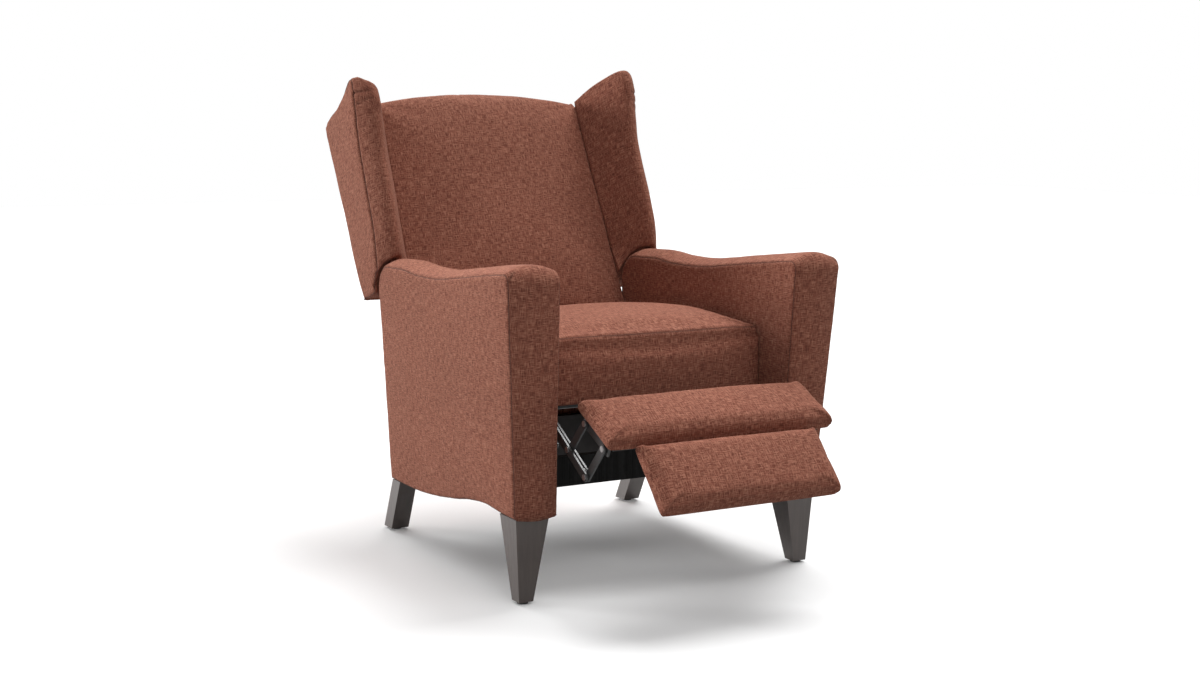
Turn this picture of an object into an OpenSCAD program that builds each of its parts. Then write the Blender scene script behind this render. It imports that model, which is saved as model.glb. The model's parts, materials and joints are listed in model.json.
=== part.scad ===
// Push-back wingback recliner with padded arms, a reclined back with wings, and a two-pad footrest.
// Millimetres. X runs across the chair, the chair faces -Y, +Z is up.
// Places along Y are measured from the middle of the arms, and the whole chair is then
// shifted so that the origin lies on the floor under the centre of its outline.

/* [Arms] */
// Width over the arms at the top of the front
arm_span = 775; // [740:1:800]
// Width over the arms at the bottom of the front
arm_span_low = 712; // [700:1:730]
// Width over the arms at the top of the rear
arm_span_rear = 720; // [712:1:730]
// Width over the arms at the bottom of the rear
arm_span_rear_low = 668; // [662:1:680]
// Gap between the arms at the top
arm_gap = 546; // [545:1:552]
// Gap between the arms at the bottom
arm_gap_low = 529; // [528:1:534]
// Front of the arm at the top, ahead of the middle
arm_front = 353; // [345:1:365]
// Front of the arm at the bottom, ahead of the middle
arm_front_low = 323; // [318:1:335]
// Rear of the arm, behind the middle
arm_rear = 356; // [354:1:358]
// Rear of the arm at the bottom, behind the middle
arm_rear_low = 345; // [343:1:350]
// Height of the arm's edge seam at the dip
arm_dip_h = 611; // [609:1:614]
// Height of the arm's edge seam at the front
arm_front_h = 652; // [646:1:660]
// Height of the arm's underside at the front
arm_under_front = 173; // [165:1:176]
// Height of the arm's underside at the rear
arm_under_rear = 126; // [120:1:132]
// Rise of the crown between the arm's two edge seams
arm_crown = 17; // [10:1:20]
// Radius of the arm's top corner at the rear
arm_rear_r = 58; // [50:1:60]
// Radius of the arm's top corner at the front
arm_front_r = 21; // [12:1:30]

/* [Legs] */
// Width of a front leg at its top
front_leg_w = 72; // [55:1:74]
// Depth of a front leg at its top
front_leg_d = 70; // [55:1:74]
// Width and depth of a front leg at its foot
front_leg_foot = 31; // [26:1:40]
// Width of a rear leg
rear_leg_w = 42; // [34:1:44]
// Depth of a rear leg
rear_leg_d = 42; // [36:1:46]
// How far a rear leg's foot stands behind its top
rear_leg_rake = 60; // [30:1:70]
// Height of a glide
glide_h = 5; // [3:0.5:8]
// Radius of a glide
glide_r = 11; // [8:0.5:13]

/* [Seat] */
// Front of the seat cushion, ahead of the middle
seat_front = 240; // [232:1:246]
// Rear of the seat cushion, behind the middle
seat_rear = 316; // [305:1:318]
// Width of the seat cushion
seat_w = 533; // [520:1:535]
// Height of the seam along the cushion's front top edge
seat_seam_h = 511; // [505:1:516]
// Rise of the cushion's crown over that seam
seat_crown = 24; // [12:1:30]
// Height of the cushion's lower front edge
seat_low = 373; // [371:1:376]

/* [Back] */
// Lean of the back cushion in the photographed pose
back_lean = 26.2; // [25:0.1:27]
// Height of the back cushion's side edge above its foot line
back_h = 521; // [505:1:530]
// Rise of the arched top at its middle
back_arch = 28; // [10:1:34]
// Width of the back cushion at its foot
back_w_low = 536; // [520:1:537]
// Width of the back cushion at its top
back_w = 518; // [500:1:530]
// Forward bulge of the back cushion
back_crown = 36; // [20:1:38]
// Depth from the cushion's side edge to the outside back at the top
back_d = 110; // [104:1:116]

/* [Wings] */
// Width over the wings at their front seams
wing_span = 730; // [722:1:740]
// Width over the wings at the rear
wing_span_rear = 716; // [710:1:724]
// How far the wing's front seam stands ahead of the cushion's side edge, at mid height
wing_reach = 68; // [60:1:72]
// How far the padded front roll stands ahead of the seam
wing_roll = 46; // [36:1:48]
// Clearance between the wing and the arm
wing_clear = 8; // [7:0.5:10]

/* [Footrest] */
// Slope of the upper pad below the horizontal
pad_slope = 26.2; // [26:0.1:26.4]
// Depth of the upper pad
pad_d = 138; // [134:1:140]
// Width of the upper pad
pad_w = 520; // [500:1:524]
// Thickness of the upper pad's padding
pad_t = 30; // [24:1:32]
// Slope of the lower pad below the horizontal
flap_slope = 48.6; // [48:0.1:50]
// Depth of the lower pad
flap_d = 141; // [130:1:142]
// Width of the lower pad
flap_w = 410; // [390:1:414]
// Thickness of the two footrest boards
board_t = 10; // [8:0.5:10]

/* [Mechanism] */
// Thickness of the steel links and plates
steel_t = 4; // [3:0.1:4.5]
// Width of a link
link_w = 18; // [14:0.5:18]
// Radius of the pivot pins
pin_r = 4; // [3:0.1:4.5]
// Radial play of a pin in its hole
pin_play = 0.1; // [0.05:0.01:0.2]
// Outside radius of the cross tube
tube_r = 9; // [8:0.5:10]
// Wall of the cross tube
tube_wall = 1.5; // [1:0.1:2.5]

/* [Hidden] */
$fn = 32;

fabric = [0.55, 0.33, 0.27];
lining = [0.10, 0.09, 0.09];
steel = [0.12, 0.12, 0.13];
zinc = [0.70, 0.70, 0.72];
espresso = [0.20, 0.15, 0.13];
timber = [0.72, 0.58, 0.40];

// Clearance between faces that lie against each other
seat_fit = 0.3;
// Overrun of a cut past the face that it opens
over = 2;
// Gap between neighbouring layers of links
layer_gap = 2;
layer_step = steel_t + layer_gap;

function lerp(a, b, t) = a + (b - a) * t;
function rev(l) = [for (i = [len(l) - 1 : -1 : 0]) l[i]];
function arc(c, r, a0, a1, n) = [for (i = [0 : n]) c + r * [cos(lerp(a0, a1, i / n)), sin(lerp(a0, a1, i / n))]];
function turn(p, a) = [p.x * cos(a) - p.y * sin(a), p.x * sin(a) + p.y * cos(a)];
function unit(v) = v / norm(v);

// One point of a smooth curve through four points
function bend(a, b, c, d, t) =
    0.5 * ((2 * b) + (c - a) * t + (2 * a - 5 * b + 4 * c - d) * t * t + (3 * b - a - 3 * c + d) * t * t * t);
// Smooth open curve through points, with n steps in each span
function curve(p, n) = concat(
    [for (i = [0 : len(p) - 2], k = [0 : n - 1])
        bend(p[max(i - 1, 0)], p[i], p[i + 1], p[min(i + 2, len(p) - 1)], k / n)],
    [p[len(p) - 1]]);

// Closed skin over rings of points that follow each other along +X, each counter-clockwise seen from +X,
// closed by a fan to a middle point at both ends
module skin(rings, first_mid, last_mid) {
    n = len(rings[0]);
    m = len(rings);
    polyhedron(
        points = concat([for (r = rings) each r], [first_mid, last_mid]),
        faces = concat(
            [for (j = [0 : m - 2], i = [0 : n - 1]) let (k = (i + 1) % n)
                [j * n + i, (j + 1) * n + i, j * n + k]],
            [for (j = [0 : m - 2], i = [0 : n - 1]) let (k = (i + 1) % n)
                [j * n + k, (j + 1) * n + i, (j + 1) * n + k]],
            [for (i = [0 : n - 1]) [i, (i + 1) % n, m * n]],
            [for (i = [0 : n - 1]) [(m - 1) * n + (i + 1) % n, (m - 1) * n + i, m * n + 1]]));
}

// Closed skin over rings made of an outer chain and an inner chain with as many points each,
// closed at both ends by a strip between the two chains
module band_skin(outer_chains, inner_chains) {
    h = len(outer_chains[0]);
    n = 2 * h;
    m = len(outer_chains);
    rings = [for (j = [0 : m - 1]) concat(outer_chains[j], rev(inner_chains[j]))];
    polyhedron(
        points = [for (r = rings) each r],
        faces = concat(
            [for (j = [0 : m - 2], i = [0 : n - 1]) let (k = (i + 1) % n)
                [j * n + i, j * n + k, (j + 1) * n + i]],
            [for (j = [0 : m - 2], i = [0 : n - 1]) let (k = (i + 1) % n)
                [j * n + k, (j + 1) * n + k, (j + 1) * n + i]],
            [for (i = [0 : h - 2]) [i, n - 1 - i, i + 1]],
            [for (i = [0 : h - 2]) [i + 1, n - 1 - i, n - 2 - i]],
            [for (i = [0 : h - 2]) let (b = (m - 1) * n) [b + i, b + i + 1, b + n - 1 - i]],
            [for (i = [0 : h - 2]) let (b = (m - 1) * n) [b + i + 1, b + n - 2 - i, b + n - 1 - i]]));
}

module both_sides() {
    children();
    mirror([1, 0, 0]) children();
}

// Arm

// Edge seam along the arm's top: place along the arm and height, as shares
arm_top_shares = [[0.86, 0.10], [0.78, 0.14], [0.67, 0.02], [0.51, 0.06], [0.34, 0.38], [0.17, 0.74]];
// Underside of the arm: place along the arm and height, as shares
arm_under_shares = [[0.09, 1.01], [0.21, 1.06], [0.34, 0.87], [0.46, 0.55], [0.60, 0.26], [0.77, 0.03]];
// Where the arm's rings lie across it, and how much of the crown each carries, as shares
arm_ring_shares = [[0, -0.32], [0.035, 0], [0.13, 0.45], [0.31, 0.85], [0.5, 1], [0.69, 0.85], [0.87, 0.45],
                   [0.965, 0], [1, -0.32]];
// Share of the crown that the front and the rear of the arm carry
arm_front_share = 0.75;
arm_rear_share = 0.45;
arm_rear_c = [arm_rear - arm_rear_r, arm_dip_h + 0.07 * (arm_front_h - arm_dip_h) - arm_rear_r];
arm_front_c = [-arm_front + arm_front_r, arm_front_h - arm_front_r];
arm_under_pts = curve(concat([[-arm_front_low, arm_under_front]],
    [for (s = arm_under_shares) [lerp(-arm_front_low, arm_rear_low, s.x), lerp(arm_under_rear, arm_under_front, s.y)]],
    [[arm_rear_low, arm_under_rear]]), 2);
arm_rear_pts = [for (t = [0.3, 0.65]) lerp([arm_rear_low, arm_under_rear], [arm_rear, arm_rear_c.y], t)];
arm_rear_arc = arc(arm_rear_c, arm_rear_r, 0, 90, 5);
arm_top_pts = curve(concat([[arm_rear_c.x, arm_rear_c.y + arm_rear_r]],
    [for (s = arm_top_shares) [lerp(-arm_front, arm_rear, s.x), lerp(arm_dip_h, arm_front_h, s.y)]],
    [[arm_front_c.x, arm_front_h]]), 2);
arm_front_arc = arc(arm_front_c, arm_front_r, 90, 180, 4);
arm_front_pts = [for (t = [0.3, 0.65]) lerp([-arm_front, arm_front_c.y], [-arm_front_low, arm_under_front], t)];
arm_outline = concat(arm_under_pts, arm_rear_pts, arm_rear_arc, [for (i = [1 : len(arm_top_pts) - 2]) arm_top_pts[i]],
    arm_front_arc, arm_front_pts);
arm_crown_shares = concat([for (p = arm_under_pts) 0], [for (p = arm_rear_pts) arm_rear_share],
    [for (i = [0 : 5]) lerp(arm_rear_share, 1, i / 5)], [for (i = [1 : len(arm_top_pts) - 2]) 1],
    [for (i = [0 : 4]) lerp(1, arm_front_share, i / 4)], [for (p = arm_front_pts) arm_front_share]);
arm_n = len(arm_outline);
arm_out = [for (i = [0 : arm_n - 1])
    let (d = unit(arm_outline[(i + 1) % arm_n] - arm_outline[(i + arm_n - 1) % arm_n])) [d.y, -d.x]];
arm_mid_shares = [0.5, 0.62];
arm_mid = [lerp(-arm_front, arm_rear, arm_mid_shares.x), arm_front_h * arm_mid_shares.y];
// How far the outer face bellies out
arm_belly = 4;

function arm_inner_x(z) = lerp(arm_gap_low, arm_gap, (z - arm_under_front) / (arm_front_h - arm_under_front)) / 2;
function arm_outer_x(p) =
    let (v = (p.y - arm_under_rear) / (arm_front_h - arm_under_rear), u = (p.x + arm_front) / (arm_front + arm_rear))
    lerp(lerp(arm_span_low, arm_span, v), lerp(arm_span_rear_low, arm_span_rear, v), u) / 2;
function arm_at(p, f, belly) = [lerp(arm_inner_x(p.y), arm_outer_x(p), f) + belly, p.x, p.y];
function arm_ring(s) = [for (i = [0 : arm_n - 1])
    arm_at(arm_outline[i] + arm_out[i] * arm_crown * (s.y > 0 ? s.y * arm_crown_shares[i] : s.y), s.x, 0)];
function arm_face(f, t, belly) = [for (p = arm_outline) arm_at(lerp(arm_mid, p, t), f, belly)];

// Slot in the arm that holds its frame
frame_in = 284;
frame_t = 38;
arm_wall = 20;
slot_front = arm_front_low - arm_wall / 4;
slot_rear = arm_rear_low - arm_wall / 2;
slot_top = arm_dip_h - arm_wall;
post_d = 38;
rear_post_d = 67;
arm_rail_h = 36;

module arm_cover() {
    rings = concat([arm_face(0, 0.6, 0), arm_face(0, 0.93, 0)], [for (s = arm_ring_shares) arm_ring(s)],
        [arm_face(1, 0.93, arm_belly / 2), arm_face(1, 0.6, arm_belly)]);
    difference() {
        skin(rings, arm_at(arm_mid, 0, 0), arm_at(arm_mid, 1, arm_belly));
        arm_frame_form(seat_fit);
        for (p = [front_bolt, rear_bolt])
            translate([frame_in + frame_t / 2, p.x, p.y - over]) cylinder(r = bolt_r + seat_fit, h = bolt_up);
    }
}
// The arm's frame seen from the side, as boxes [front, rear, low, high], grown on all sides
module arm_frame_form(grow) {
    front_low = arm_under_front + over;
    for (b = [[-slot_front, -slot_front + post_d, front_low, slot_top],
              [slot_rear - rear_post_d, slot_rear, arm_under_rear + over, slot_top - arm_rail_h],
              [-slot_front + post_d - over, slot_rear - rear_post_d / 2, slot_top - arm_rail_h, slot_top],
              [-slot_front + post_d - over, slot_rear - rear_post_d + over, front_low, front_low + arm_rail_h]])
        translate([frame_in - grow, b[0] - grow, b[2] - grow])
            cube([frame_t + 2 * grow, b[1] - b[0] + 2 * grow, b[3] - b[2] + 2 * grow]);
}
module arm_frame() {
    difference() {
        arm_frame_form(0);
        for (p = [front_bolt, rear_bolt])
            translate([frame_in + frame_t / 2, p.x, p.y - over]) cylinder(r = bolt_r + seat_fit, h = bolt_up + 2 * over);
    }
}

// Legs
bolt_r = 4;
bolt_up = 40;
bolt_down = 18;
front_leg_out = arm_span_low / 2 - 2;
front_leg_taper = [11, 9];
front_leg_top = arm_under_front - seat_fit;
rear_leg_top = arm_under_rear - seat_fit;
rear_leg_out = arm_span_rear_low / 2 - 2;
rear_leg_lean = 3;
front_leg_y = [-arm_front_low + 2, -arm_front_low + 2 + front_leg_d];
rear_leg_y = [arm_rear_low - rear_leg_d - 2, arm_rear_low - 2];
front_bolt = [-slot_front + post_d / 2, front_leg_top];
rear_bolt = [rear_leg_y.y - rear_leg_d / 2, rear_leg_top];

// Eight-cornered block between a lower and an upper rectangle, each [x0, x1, y0, y1, z]
module block(lo, hi) {
    polyhedron(
        points = [[lo[0], lo[2], lo[4]], [lo[1], lo[2], lo[4]], [lo[1], lo[3], lo[4]], [lo[0], lo[3], lo[4]],
                  [hi[0], hi[2], hi[4]], [hi[1], hi[2], hi[4]], [hi[1], hi[3], hi[4]], [hi[0], hi[3], hi[4]]],
        faces = [[0, 1, 2, 3], [7, 6, 5, 4], [0, 4, 5, 1], [1, 5, 6, 2], [2, 6, 7, 3], [3, 7, 4, 0]]);
}
module front_leg() {
    out = front_leg_out - front_leg_taper.x;
    y0 = front_leg_y.x + front_leg_taper.y;
    difference() {
        block([out - front_leg_foot, out, y0, y0 + front_leg_foot, glide_h],
              [front_leg_out - front_leg_w, front_leg_out, front_leg_y.x, front_leg_y.y, front_leg_top]);
        translate([frame_in + frame_t / 2, front_bolt.x, front_leg_top - bolt_down])
            cylinder(r = bolt_r + seat_fit, h = bolt_down + over);
    }
}
module rear_leg() {
    out = rear_leg_out - rear_leg_lean;
    y0 = rear_leg_y.x + rear_leg_rake;
    difference() {
        block([out - rear_leg_w, out, y0, y0 + rear_leg_d, glide_h],
              [rear_leg_out - rear_leg_w, rear_leg_out, rear_leg_y.x, rear_leg_y.y, rear_leg_top]);
        translate([frame_in + frame_t / 2, rear_bolt.x, rear_leg_top - bolt_down])
            cylinder(r = bolt_r + seat_fit, h = bolt_down + over);
    }
}
module glide_set() {
    both_sides() {
        translate([front_leg_out - front_leg_taper.x - front_leg_foot / 2,
                   front_leg_y.x + front_leg_taper.y + front_leg_foot / 2, 0]) cylinder(r = glide_r, h = glide_h);
        translate([rear_leg_out - rear_leg_lean - rear_leg_w / 2,
                   rear_leg_y.x + rear_leg_rake + rear_leg_d / 2, 0]) cylinder(r = glide_r, h = glide_h);
    }
}
module bolt_set() {
    both_sides()
        for (p = [front_bolt, rear_bolt])
            translate([frame_in + frame_t / 2, p.x, p.y - bolt_down + seat_fit])
                cylinder(r = bolt_r, h = bolt_down + bolt_up - over);
}

// Rails between the arms
rail_x = arm_gap_low / 2;
rail_t = 20;
front_rail_y = -160;
front_rail_z = [188, 250];
rear_rail_y = 262;
rear_rail_z = [150, 250];
apron_t = 12;
apron_z = [132, 300];
block_l = 46;

module front_rail_board() {
    translate([-rail_x, front_rail_y, front_rail_z.x])
        cube([2 * rail_x, rail_t, front_rail_z.y - front_rail_z.x]);
}
module rear_rail_board() {
    x = arm_inner_x(rear_rail_z.x) - seat_fit;
    translate([-x, rear_rail_y, rear_rail_z.x]) cube([2 * x, rail_t, rear_rail_z.y - rear_rail_z.x]);
}
module apron_panel() {
    x = arm_inner_x(apron_z.x) - seat_fit;
    y = rear_rail_y + rail_t + seat_fit;
    translate([-x, y, apron_z.x]) cube([2 * x, apron_t, apron_z.y - apron_z.x]);
}
module corner_block_set() {
    both_sides() {
        for (c = [[front_rail_y + rail_t + seat_fit, 1, front_rail_z], [rear_rail_y - seat_fit, -1, rear_rail_z]])
            let (x = arm_inner_x(c[2].x) - seat_fit)
                translate([0, c[0], c[2].x + over]) linear_extrude(height = c[2].y - c[2].x - 2 * over)
                    polygon([[x, 0], [x, c[1] * block_l], [x - block_l, 0]]);
    }
}

// Layers of the mechanism, counted inwards from the base angle
base_x = 256;
function layer_x(k) = base_x - k * layer_step;
plate_x = layer_x(1);
drive_x = layer_x(2);
front_x = layer_x(3);
guide_x = layer_x(4);
rivet_h = 1.4;
rivet_r = 6;
// How far a link draws in on each side between its eyes
link_waist = 0.6;

// Pivots as [y, z] in the photographed pose, with the footrest open
drive_base = [-261.2, 345.1];
guide_base = [-235.1, 352.0];
drive_tip = [-400, 262];
guide_tip = [-381.6, 267.4];
rear_link_share = 0.504;
rear_foot = lerp(drive_base, drive_tip, rear_link_share);
pad_edge = [-394, 417];
// Places on the upper pad: along it from its rear edge, and below its top
front_seat = [97.5, 52.9];
rear_seat = [18.5, 51.0];
hinge_seat = [134, 46];
pad_along = [-cos(pad_slope), -sin(pad_slope)];
pad_up = [pad_along.y, -pad_along.x];
function on_pad(p) = pad_edge + pad_along * p.x - pad_up * p.y;
front_tip = on_pad(front_seat);
rear_tip = on_pad(rear_seat);
flap_axis = on_pad(hinge_seat);
// The rod ears: from the drive pivot to the rod's pin, the same on the crank
ear = [-7.6, -43.3];
tube_at = [-60, 340];
crank_rim = 4;
back_pivot = [250, 345];
stud_at = [[-120, 334], [150, 334]];
glide_len = 36;
glide_dir = unit([0.83, 0.55]);
stud_r = 4.5;
slot_play = 0.5;
// Play of the pivots at which the closed linkages are opened
open_play = 1.7;

// Flat bar with a round end at each of two [y, z] points, in the layer that starts at x.
// A second bar at the same first point leaves that end out, because it is there already
module bar(p, q, x, w, t, first = true) {
    d = q - p;
    half = w / 2 - link_waist;
    translate([x, p.x, p.y]) rotate([atan2(d.y, d.x), 0, 0]) {
        if (first) rotate([-90, 0, 0]) rotate([0, 90, 0]) cylinder(r = w / 2, h = t);
        translate([0, norm(d), 0]) rotate([90, 0, 0]) rotate([0, 90, 0]) cylinder(r = w / 2, h = t);
        translate([0, 0, -half]) cube([t, norm(d), 2 * half]);
    }
}
module hole(p, x, r) {
    translate([x - over, p.x, p.y]) rotate([0, 90, 0]) cylinder(r = r, h = steel_t + 2 * over);
}
// Riveted pin through the layers from x0 to x1
module rivet(p, x0, x1) {
    translate([x0 - rivet_h, p.x, p.y]) rotate([0, 90, 0]) cylinder(r = pin_r, h = x1 - x0 + 2 * rivet_h);
    translate([x0 - rivet_h - seat_fit / 2, p.x, p.y]) rotate([0, 90, 0]) cylinder(r = rivet_r, h = rivet_h);
    translate([x1 + seat_fit / 2, p.x, p.y]) rotate([0, 90, 0]) cylinder(r = rivet_r, h = rivet_h);
}

// Base angles
base_y = [front_rail_y, rear_rail_y + rail_t];
base_z = front_rail_z.y;
base_web = 40;
base_flange = 20;
ear_y = [-18, 48];
ear_z = 364;
module base_angle() {
    slot_end = glide_len * glide_dir;
    difference() {
        union() {
            translate([base_x, base_y.x, base_z + seat_fit]) cube([steel_t, base_y.y - base_y.x, base_web]);
            translate([base_x - base_flange, base_y.x, base_z + seat_fit]) cube([base_flange + over, base_y.y - base_y.x, steel_t]);
            for (s = stud_at)
                translate([base_x, s.x + ear_y.x, base_z + over]) cube([steel_t, ear_y.y - ear_y.x, ear_z - base_z - over]);
        }
        for (s = stud_at)
            bar(s, s + slot_end, base_x - over, 2 * (stud_r + slot_play), steel_t + 2 * over);
        for (y = base_screw_y)
            translate([base_x - base_flange / 2, y, base_z - over]) cylinder(r = screw_r + seat_fit, h = steel_t + 3 * over);
    }
}
screw_r = 2.5;
screw_head_r = 5;
screw_l = 26;
base_screw_y = [front_rail_y + rail_t / 2, rear_rail_y + rail_t / 2];
module base_screw_set() {
    both_sides()
        for (y = base_screw_y)
            translate([base_x - base_flange / 2, y, base_z + steel_t + 2 * seat_fit]) {
                cylinder(r = screw_head_r, h = steel_t / 2);
                translate([0, 0, -screw_l]) cylinder(r = screw_r, h = screw_l + steel_t / 4);
            }
}
module rail_screw_holes() {
    both_sides()
        for (y = base_screw_y)
            translate([base_x - base_flange / 2, y, base_z - screw_l - over]) cylinder(r = screw_r + seat_fit, h = screw_l + 2 * over);
}

// Side plate that carries the seat and every footrest pivot
plate_y = [-276, 266];
plate_z = [318, 366];
flange_y = [-232, 262];
flange_w = 28;
module side_plate() {
    difference() {
        union() {
            translate([plate_x, plate_y.x, plate_z.x]) cube([steel_t, plate_y.y - plate_y.x, plate_z.y - plate_z.x]);
            translate([plate_x + steel_t - flange_w, flange_y.x, plate_z.y - seat_fit])
                cube([flange_w, flange_y.y - flange_y.x, steel_t]);
        }
        for (p = [drive_base, guide_base, back_pivot]) hole(p, plate_x, pin_r + pin_play);
        hole(tube_at, plate_x, tube_r + pin_play);
        for (s = stud_at) hole(s, plate_x, stud_r - pin_play);
    }
}
module stud_set() {
    both_sides()
        for (s = stud_at) {
            translate([plate_x - rivet_h, s.x, s.y]) rotate([0, 90, 0])
                cylinder(r = stud_r - 2 * pin_play, h = layer_step + steel_t + 2 * rivet_h);
            translate([plate_x - 2 * rivet_h, s.x, s.y]) rotate([0, 90, 0]) cylinder(r = stud_r + over, h = 2 * rivet_h - pin_play);
            translate([base_x + steel_t + seat_fit, s.x, s.y]) rotate([0, 90, 0]) cylinder(r = stud_r + over, h = rivet_h);
        }
}
module plate_pin_set() {
    both_sides() {
        rivet(drive_base, drive_x, plate_x + steel_t);
        rivet(guide_base, guide_x, plate_x + steel_t);
    }
}

// Footrest links
module drive_link() {
    difference() {
        union() {
            bar(drive_base, drive_tip, drive_x, link_w, steel_t);
            bar(drive_base, drive_base + ear, drive_x, link_w, steel_t, false);
        }
        hole(drive_base, drive_x, pin_r + pin_play);
        for (p = [drive_tip, rear_foot, drive_base + ear]) hole(p, drive_x, pin_r + pin_play / 2);
    }
}
module drive_pin_set() {
    both_sides() {
        rivet(drive_tip, front_x, drive_x + steel_t);
        rivet(rear_foot, front_x, drive_x + steel_t);
        rivet(drive_base + ear, front_x, drive_x + steel_t);
    }
}
module guide_link_pair() {
    both_sides() difference() {
        bar(guide_base, guide_tip, guide_x, link_w, steel_t);
        hole(guide_base, guide_x, pin_r + pin_play);
        hole(guide_tip, guide_x, pin_r + pin_play / 2);
    }
}
module guide_pin_set() {
    both_sides() rivet(guide_tip, guide_x, front_x + steel_t);
}
module front_link_pair() {
    both_sides() difference() {
        union() {
            bar(drive_tip, front_tip, front_x, link_w, steel_t);
            bar(drive_tip, guide_tip, front_x, link_w, steel_t, false);
        }
        hole(drive_tip, front_x, pin_r + pin_play);
        hole(guide_tip, front_x, pin_r + open_play);
        hole(front_tip, front_x, pin_r + pin_play / 2);
    }
}
module front_pin_set() {
    both_sides() rivet(front_tip, guide_x, front_x + steel_t);
}
module rear_link_pair() {
    both_sides() difference() {
        bar(rear_foot, rear_tip, front_x, link_w, steel_t);
        hole(rear_foot, front_x, pin_r + pin_play);
        hole(rear_tip, front_x, pin_r + pin_play / 2);
    }
}
module rear_pin_set() {
    both_sides() rivet(rear_tip, guide_x, front_x + steel_t);
}
module cross_tube_set() {
    span = plate_x + steel_t + layer_gap / 2;
    difference() {
        translate([-span, tube_at.x, tube_at.y]) rotate([0, 90, 0]) cylinder(r = tube_r, h = 2 * span);
        translate([-span - over, tube_at.x, tube_at.y]) rotate([0, 90, 0]) cylinder(r = tube_r - tube_wall, h = 2 * span + 2 * over);
    }
}
module crank_pair() {
    both_sides() difference() {
        union() {
            bar(tube_at, tube_at + ear, drive_x, link_w, steel_t, false);
            translate([drive_x, tube_at.x, tube_at.y]) rotate([180, 0, 0]) rotate([0, 90, 0])
                cylinder(r = tube_r + crank_rim, h = steel_t);
        }
        hole(tube_at, drive_x, tube_r + pin_play / 2);
        hole(tube_at + ear, drive_x, pin_r + pin_play / 2);
    }
}
module crank_pin_set() {
    both_sides() rivet(tube_at + ear, front_x, drive_x + steel_t);
}
module tie_rod_pair() {
    both_sides() difference() {
        bar(drive_base + ear, tube_at + ear, front_x, link_w - over, steel_t);
        for (p = [drive_base + ear, tube_at + ear]) hole(p, front_x, pin_r + pin_play);
    }
}

// Footrest, in a frame that starts at the rear top edge of the upper pad: y along it, z up from it
board_margin = 14;
board_side_margin = 25;
board_w = pad_w - 2 * board_side_margin;
bracket_u = [6, 112];
bracket_drop = 62;
bracket_flange = 22;
bracket_screw_u = [28, 84];
pad_crown = 10;
// Rings across a pad: place, share of thickness, share of crown, share of depth
pad_ring_shares = [[-1, 0.42, 0, 0.95], [-0.985, 0.72, 0.10, 0.985], [-0.93, 0.92, 0.38, 1], [-0.7, 1, 0.76, 1],
                   [-0.36, 1, 0.95, 1], [0, 1, 1, 1], [0.36, 1, 0.95, 1], [0.7, 1, 0.76, 1], [0.93, 0.92, 0.38, 1],
                   [0.985, 0.72, 0.10, 0.985], [1, 0.42, 0, 0.95]];
// Outline of a pad's section, counter-clockwise: along its depth, up its thickness, and share of the crown
pad_section_shares = [[0.05, 0, 0], [0.35, 0, 0], [0.65, 0, 0], [0.95, 0, 0], [0.985, 0.14, 0], [1, 0.45, 0],
                      [0.985, 0.76, 0.1], [0.94, 0.96, 0.3], [0.80, 1, 0.72], [0.62, 1, 0.94], [0.5, 1, 1], [0.38, 1, 0.94],
                      [0.2, 1, 0.72], [0.06, 0.96, 0.3], [0.015, 0.76, 0.1], [0, 0.45, 0], [0.015, 0.14, 0]];
module pad_place() {
    translate([0, pad_edge.x, pad_edge.y]) rotate([180 + pad_slope, 0, 0]) mirror([0, 0, 1]) children();
}
module flap_place() {
    translate([0, flap_axis.x, flap_axis.y]) rotate([180 + flap_slope, 0, 0]) mirror([0, 0, 1]) children();
}
// Padded solid of width w, from depth d0 to d1, with its flat underside at z0 and thickness t
module pad_form(w, d0, d1, z0, t, crown) {
    rings = [for (r = pad_ring_shares) [for (s = pad_section_shares)
        [r.x * w / 2, lerp((d0 + d1) / 2, lerp(d0, d1, s.x), r[3]),
         z0 + lerp(0.5, s.y, r.y) * t * lerp(0.9, 1, r.z) + s.z * r.z * crown]]];
    mid = [for (e = [0, len(rings) - 1]) let (p = rings[e][0], q = rings[e][9]) [p.x, (d0 + d1) / 2, (p.z + q.z) / 2]];
    skin(rings, mid[0], mid[1]);
}
module upper_pad() {
    pad_place() pad_form(pad_w, 0, pad_d, -pad_t, pad_t - pad_crown / 2, pad_crown);
}
module upper_board() {
    pad_place() difference() {
        translate([-board_w / 2, board_margin, -pad_t - board_t])
            cube([board_w, pad_d - 2 * board_margin, board_t - seat_fit]);
        for (s = [-1, 1], u = bracket_screw_u)
            translate([s * (guide_x - bracket_flange / 2), u, -pad_t - board_t - over]) cylinder(r = screw_r + seat_fit, h = board_t - over);
    }
}
module bracket_pair() {
    low = -bracket_drop;
    top = -pad_t - board_t - seat_fit;
    difference() {
        both_sides() {
            pad_place() translate([guide_x, bracket_u.x, low]) cube([steel_t, bracket_u.y - bracket_u.x, top - low]);
            pad_place() translate([guide_x - bracket_flange, bracket_u.x, top - steel_t * 0.7])
                cube([bracket_flange + over, bracket_u.y - bracket_u.x, steel_t * 0.7]);
        }
        both_sides() {
            hole(front_tip, guide_x, pin_r + pin_play);
            hole(rear_tip, guide_x, pin_r + open_play);
            pad_place() for (u = bracket_screw_u)
                translate([guide_x - bracket_flange / 2, u, top - 3 * over]) cylinder(r = screw_r + seat_fit, h = 4 * over);
        }
    }
}
module bracket_screw_set() {
    top = -pad_t - board_t - seat_fit - steel_t * 0.7;
    both_sides() pad_place() for (u = bracket_screw_u)
        translate([guide_x - bracket_flange / 2, u, top]) {
            translate([0, 0, -2 * rivet_h - seat_fit]) cylinder(r = screw_head_r - over / 2, h = 2 * rivet_h);
            translate([0, 0, -rivet_h]) cylinder(r = screw_r, h = board_t + rivet_h - over);
        }
}
hinge_x = 120;
hinge_l = 60;
knuckle_r = 4;
hinge_pin_r = 2;
leaf_t = 2;
leaf_d = 34;
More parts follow.
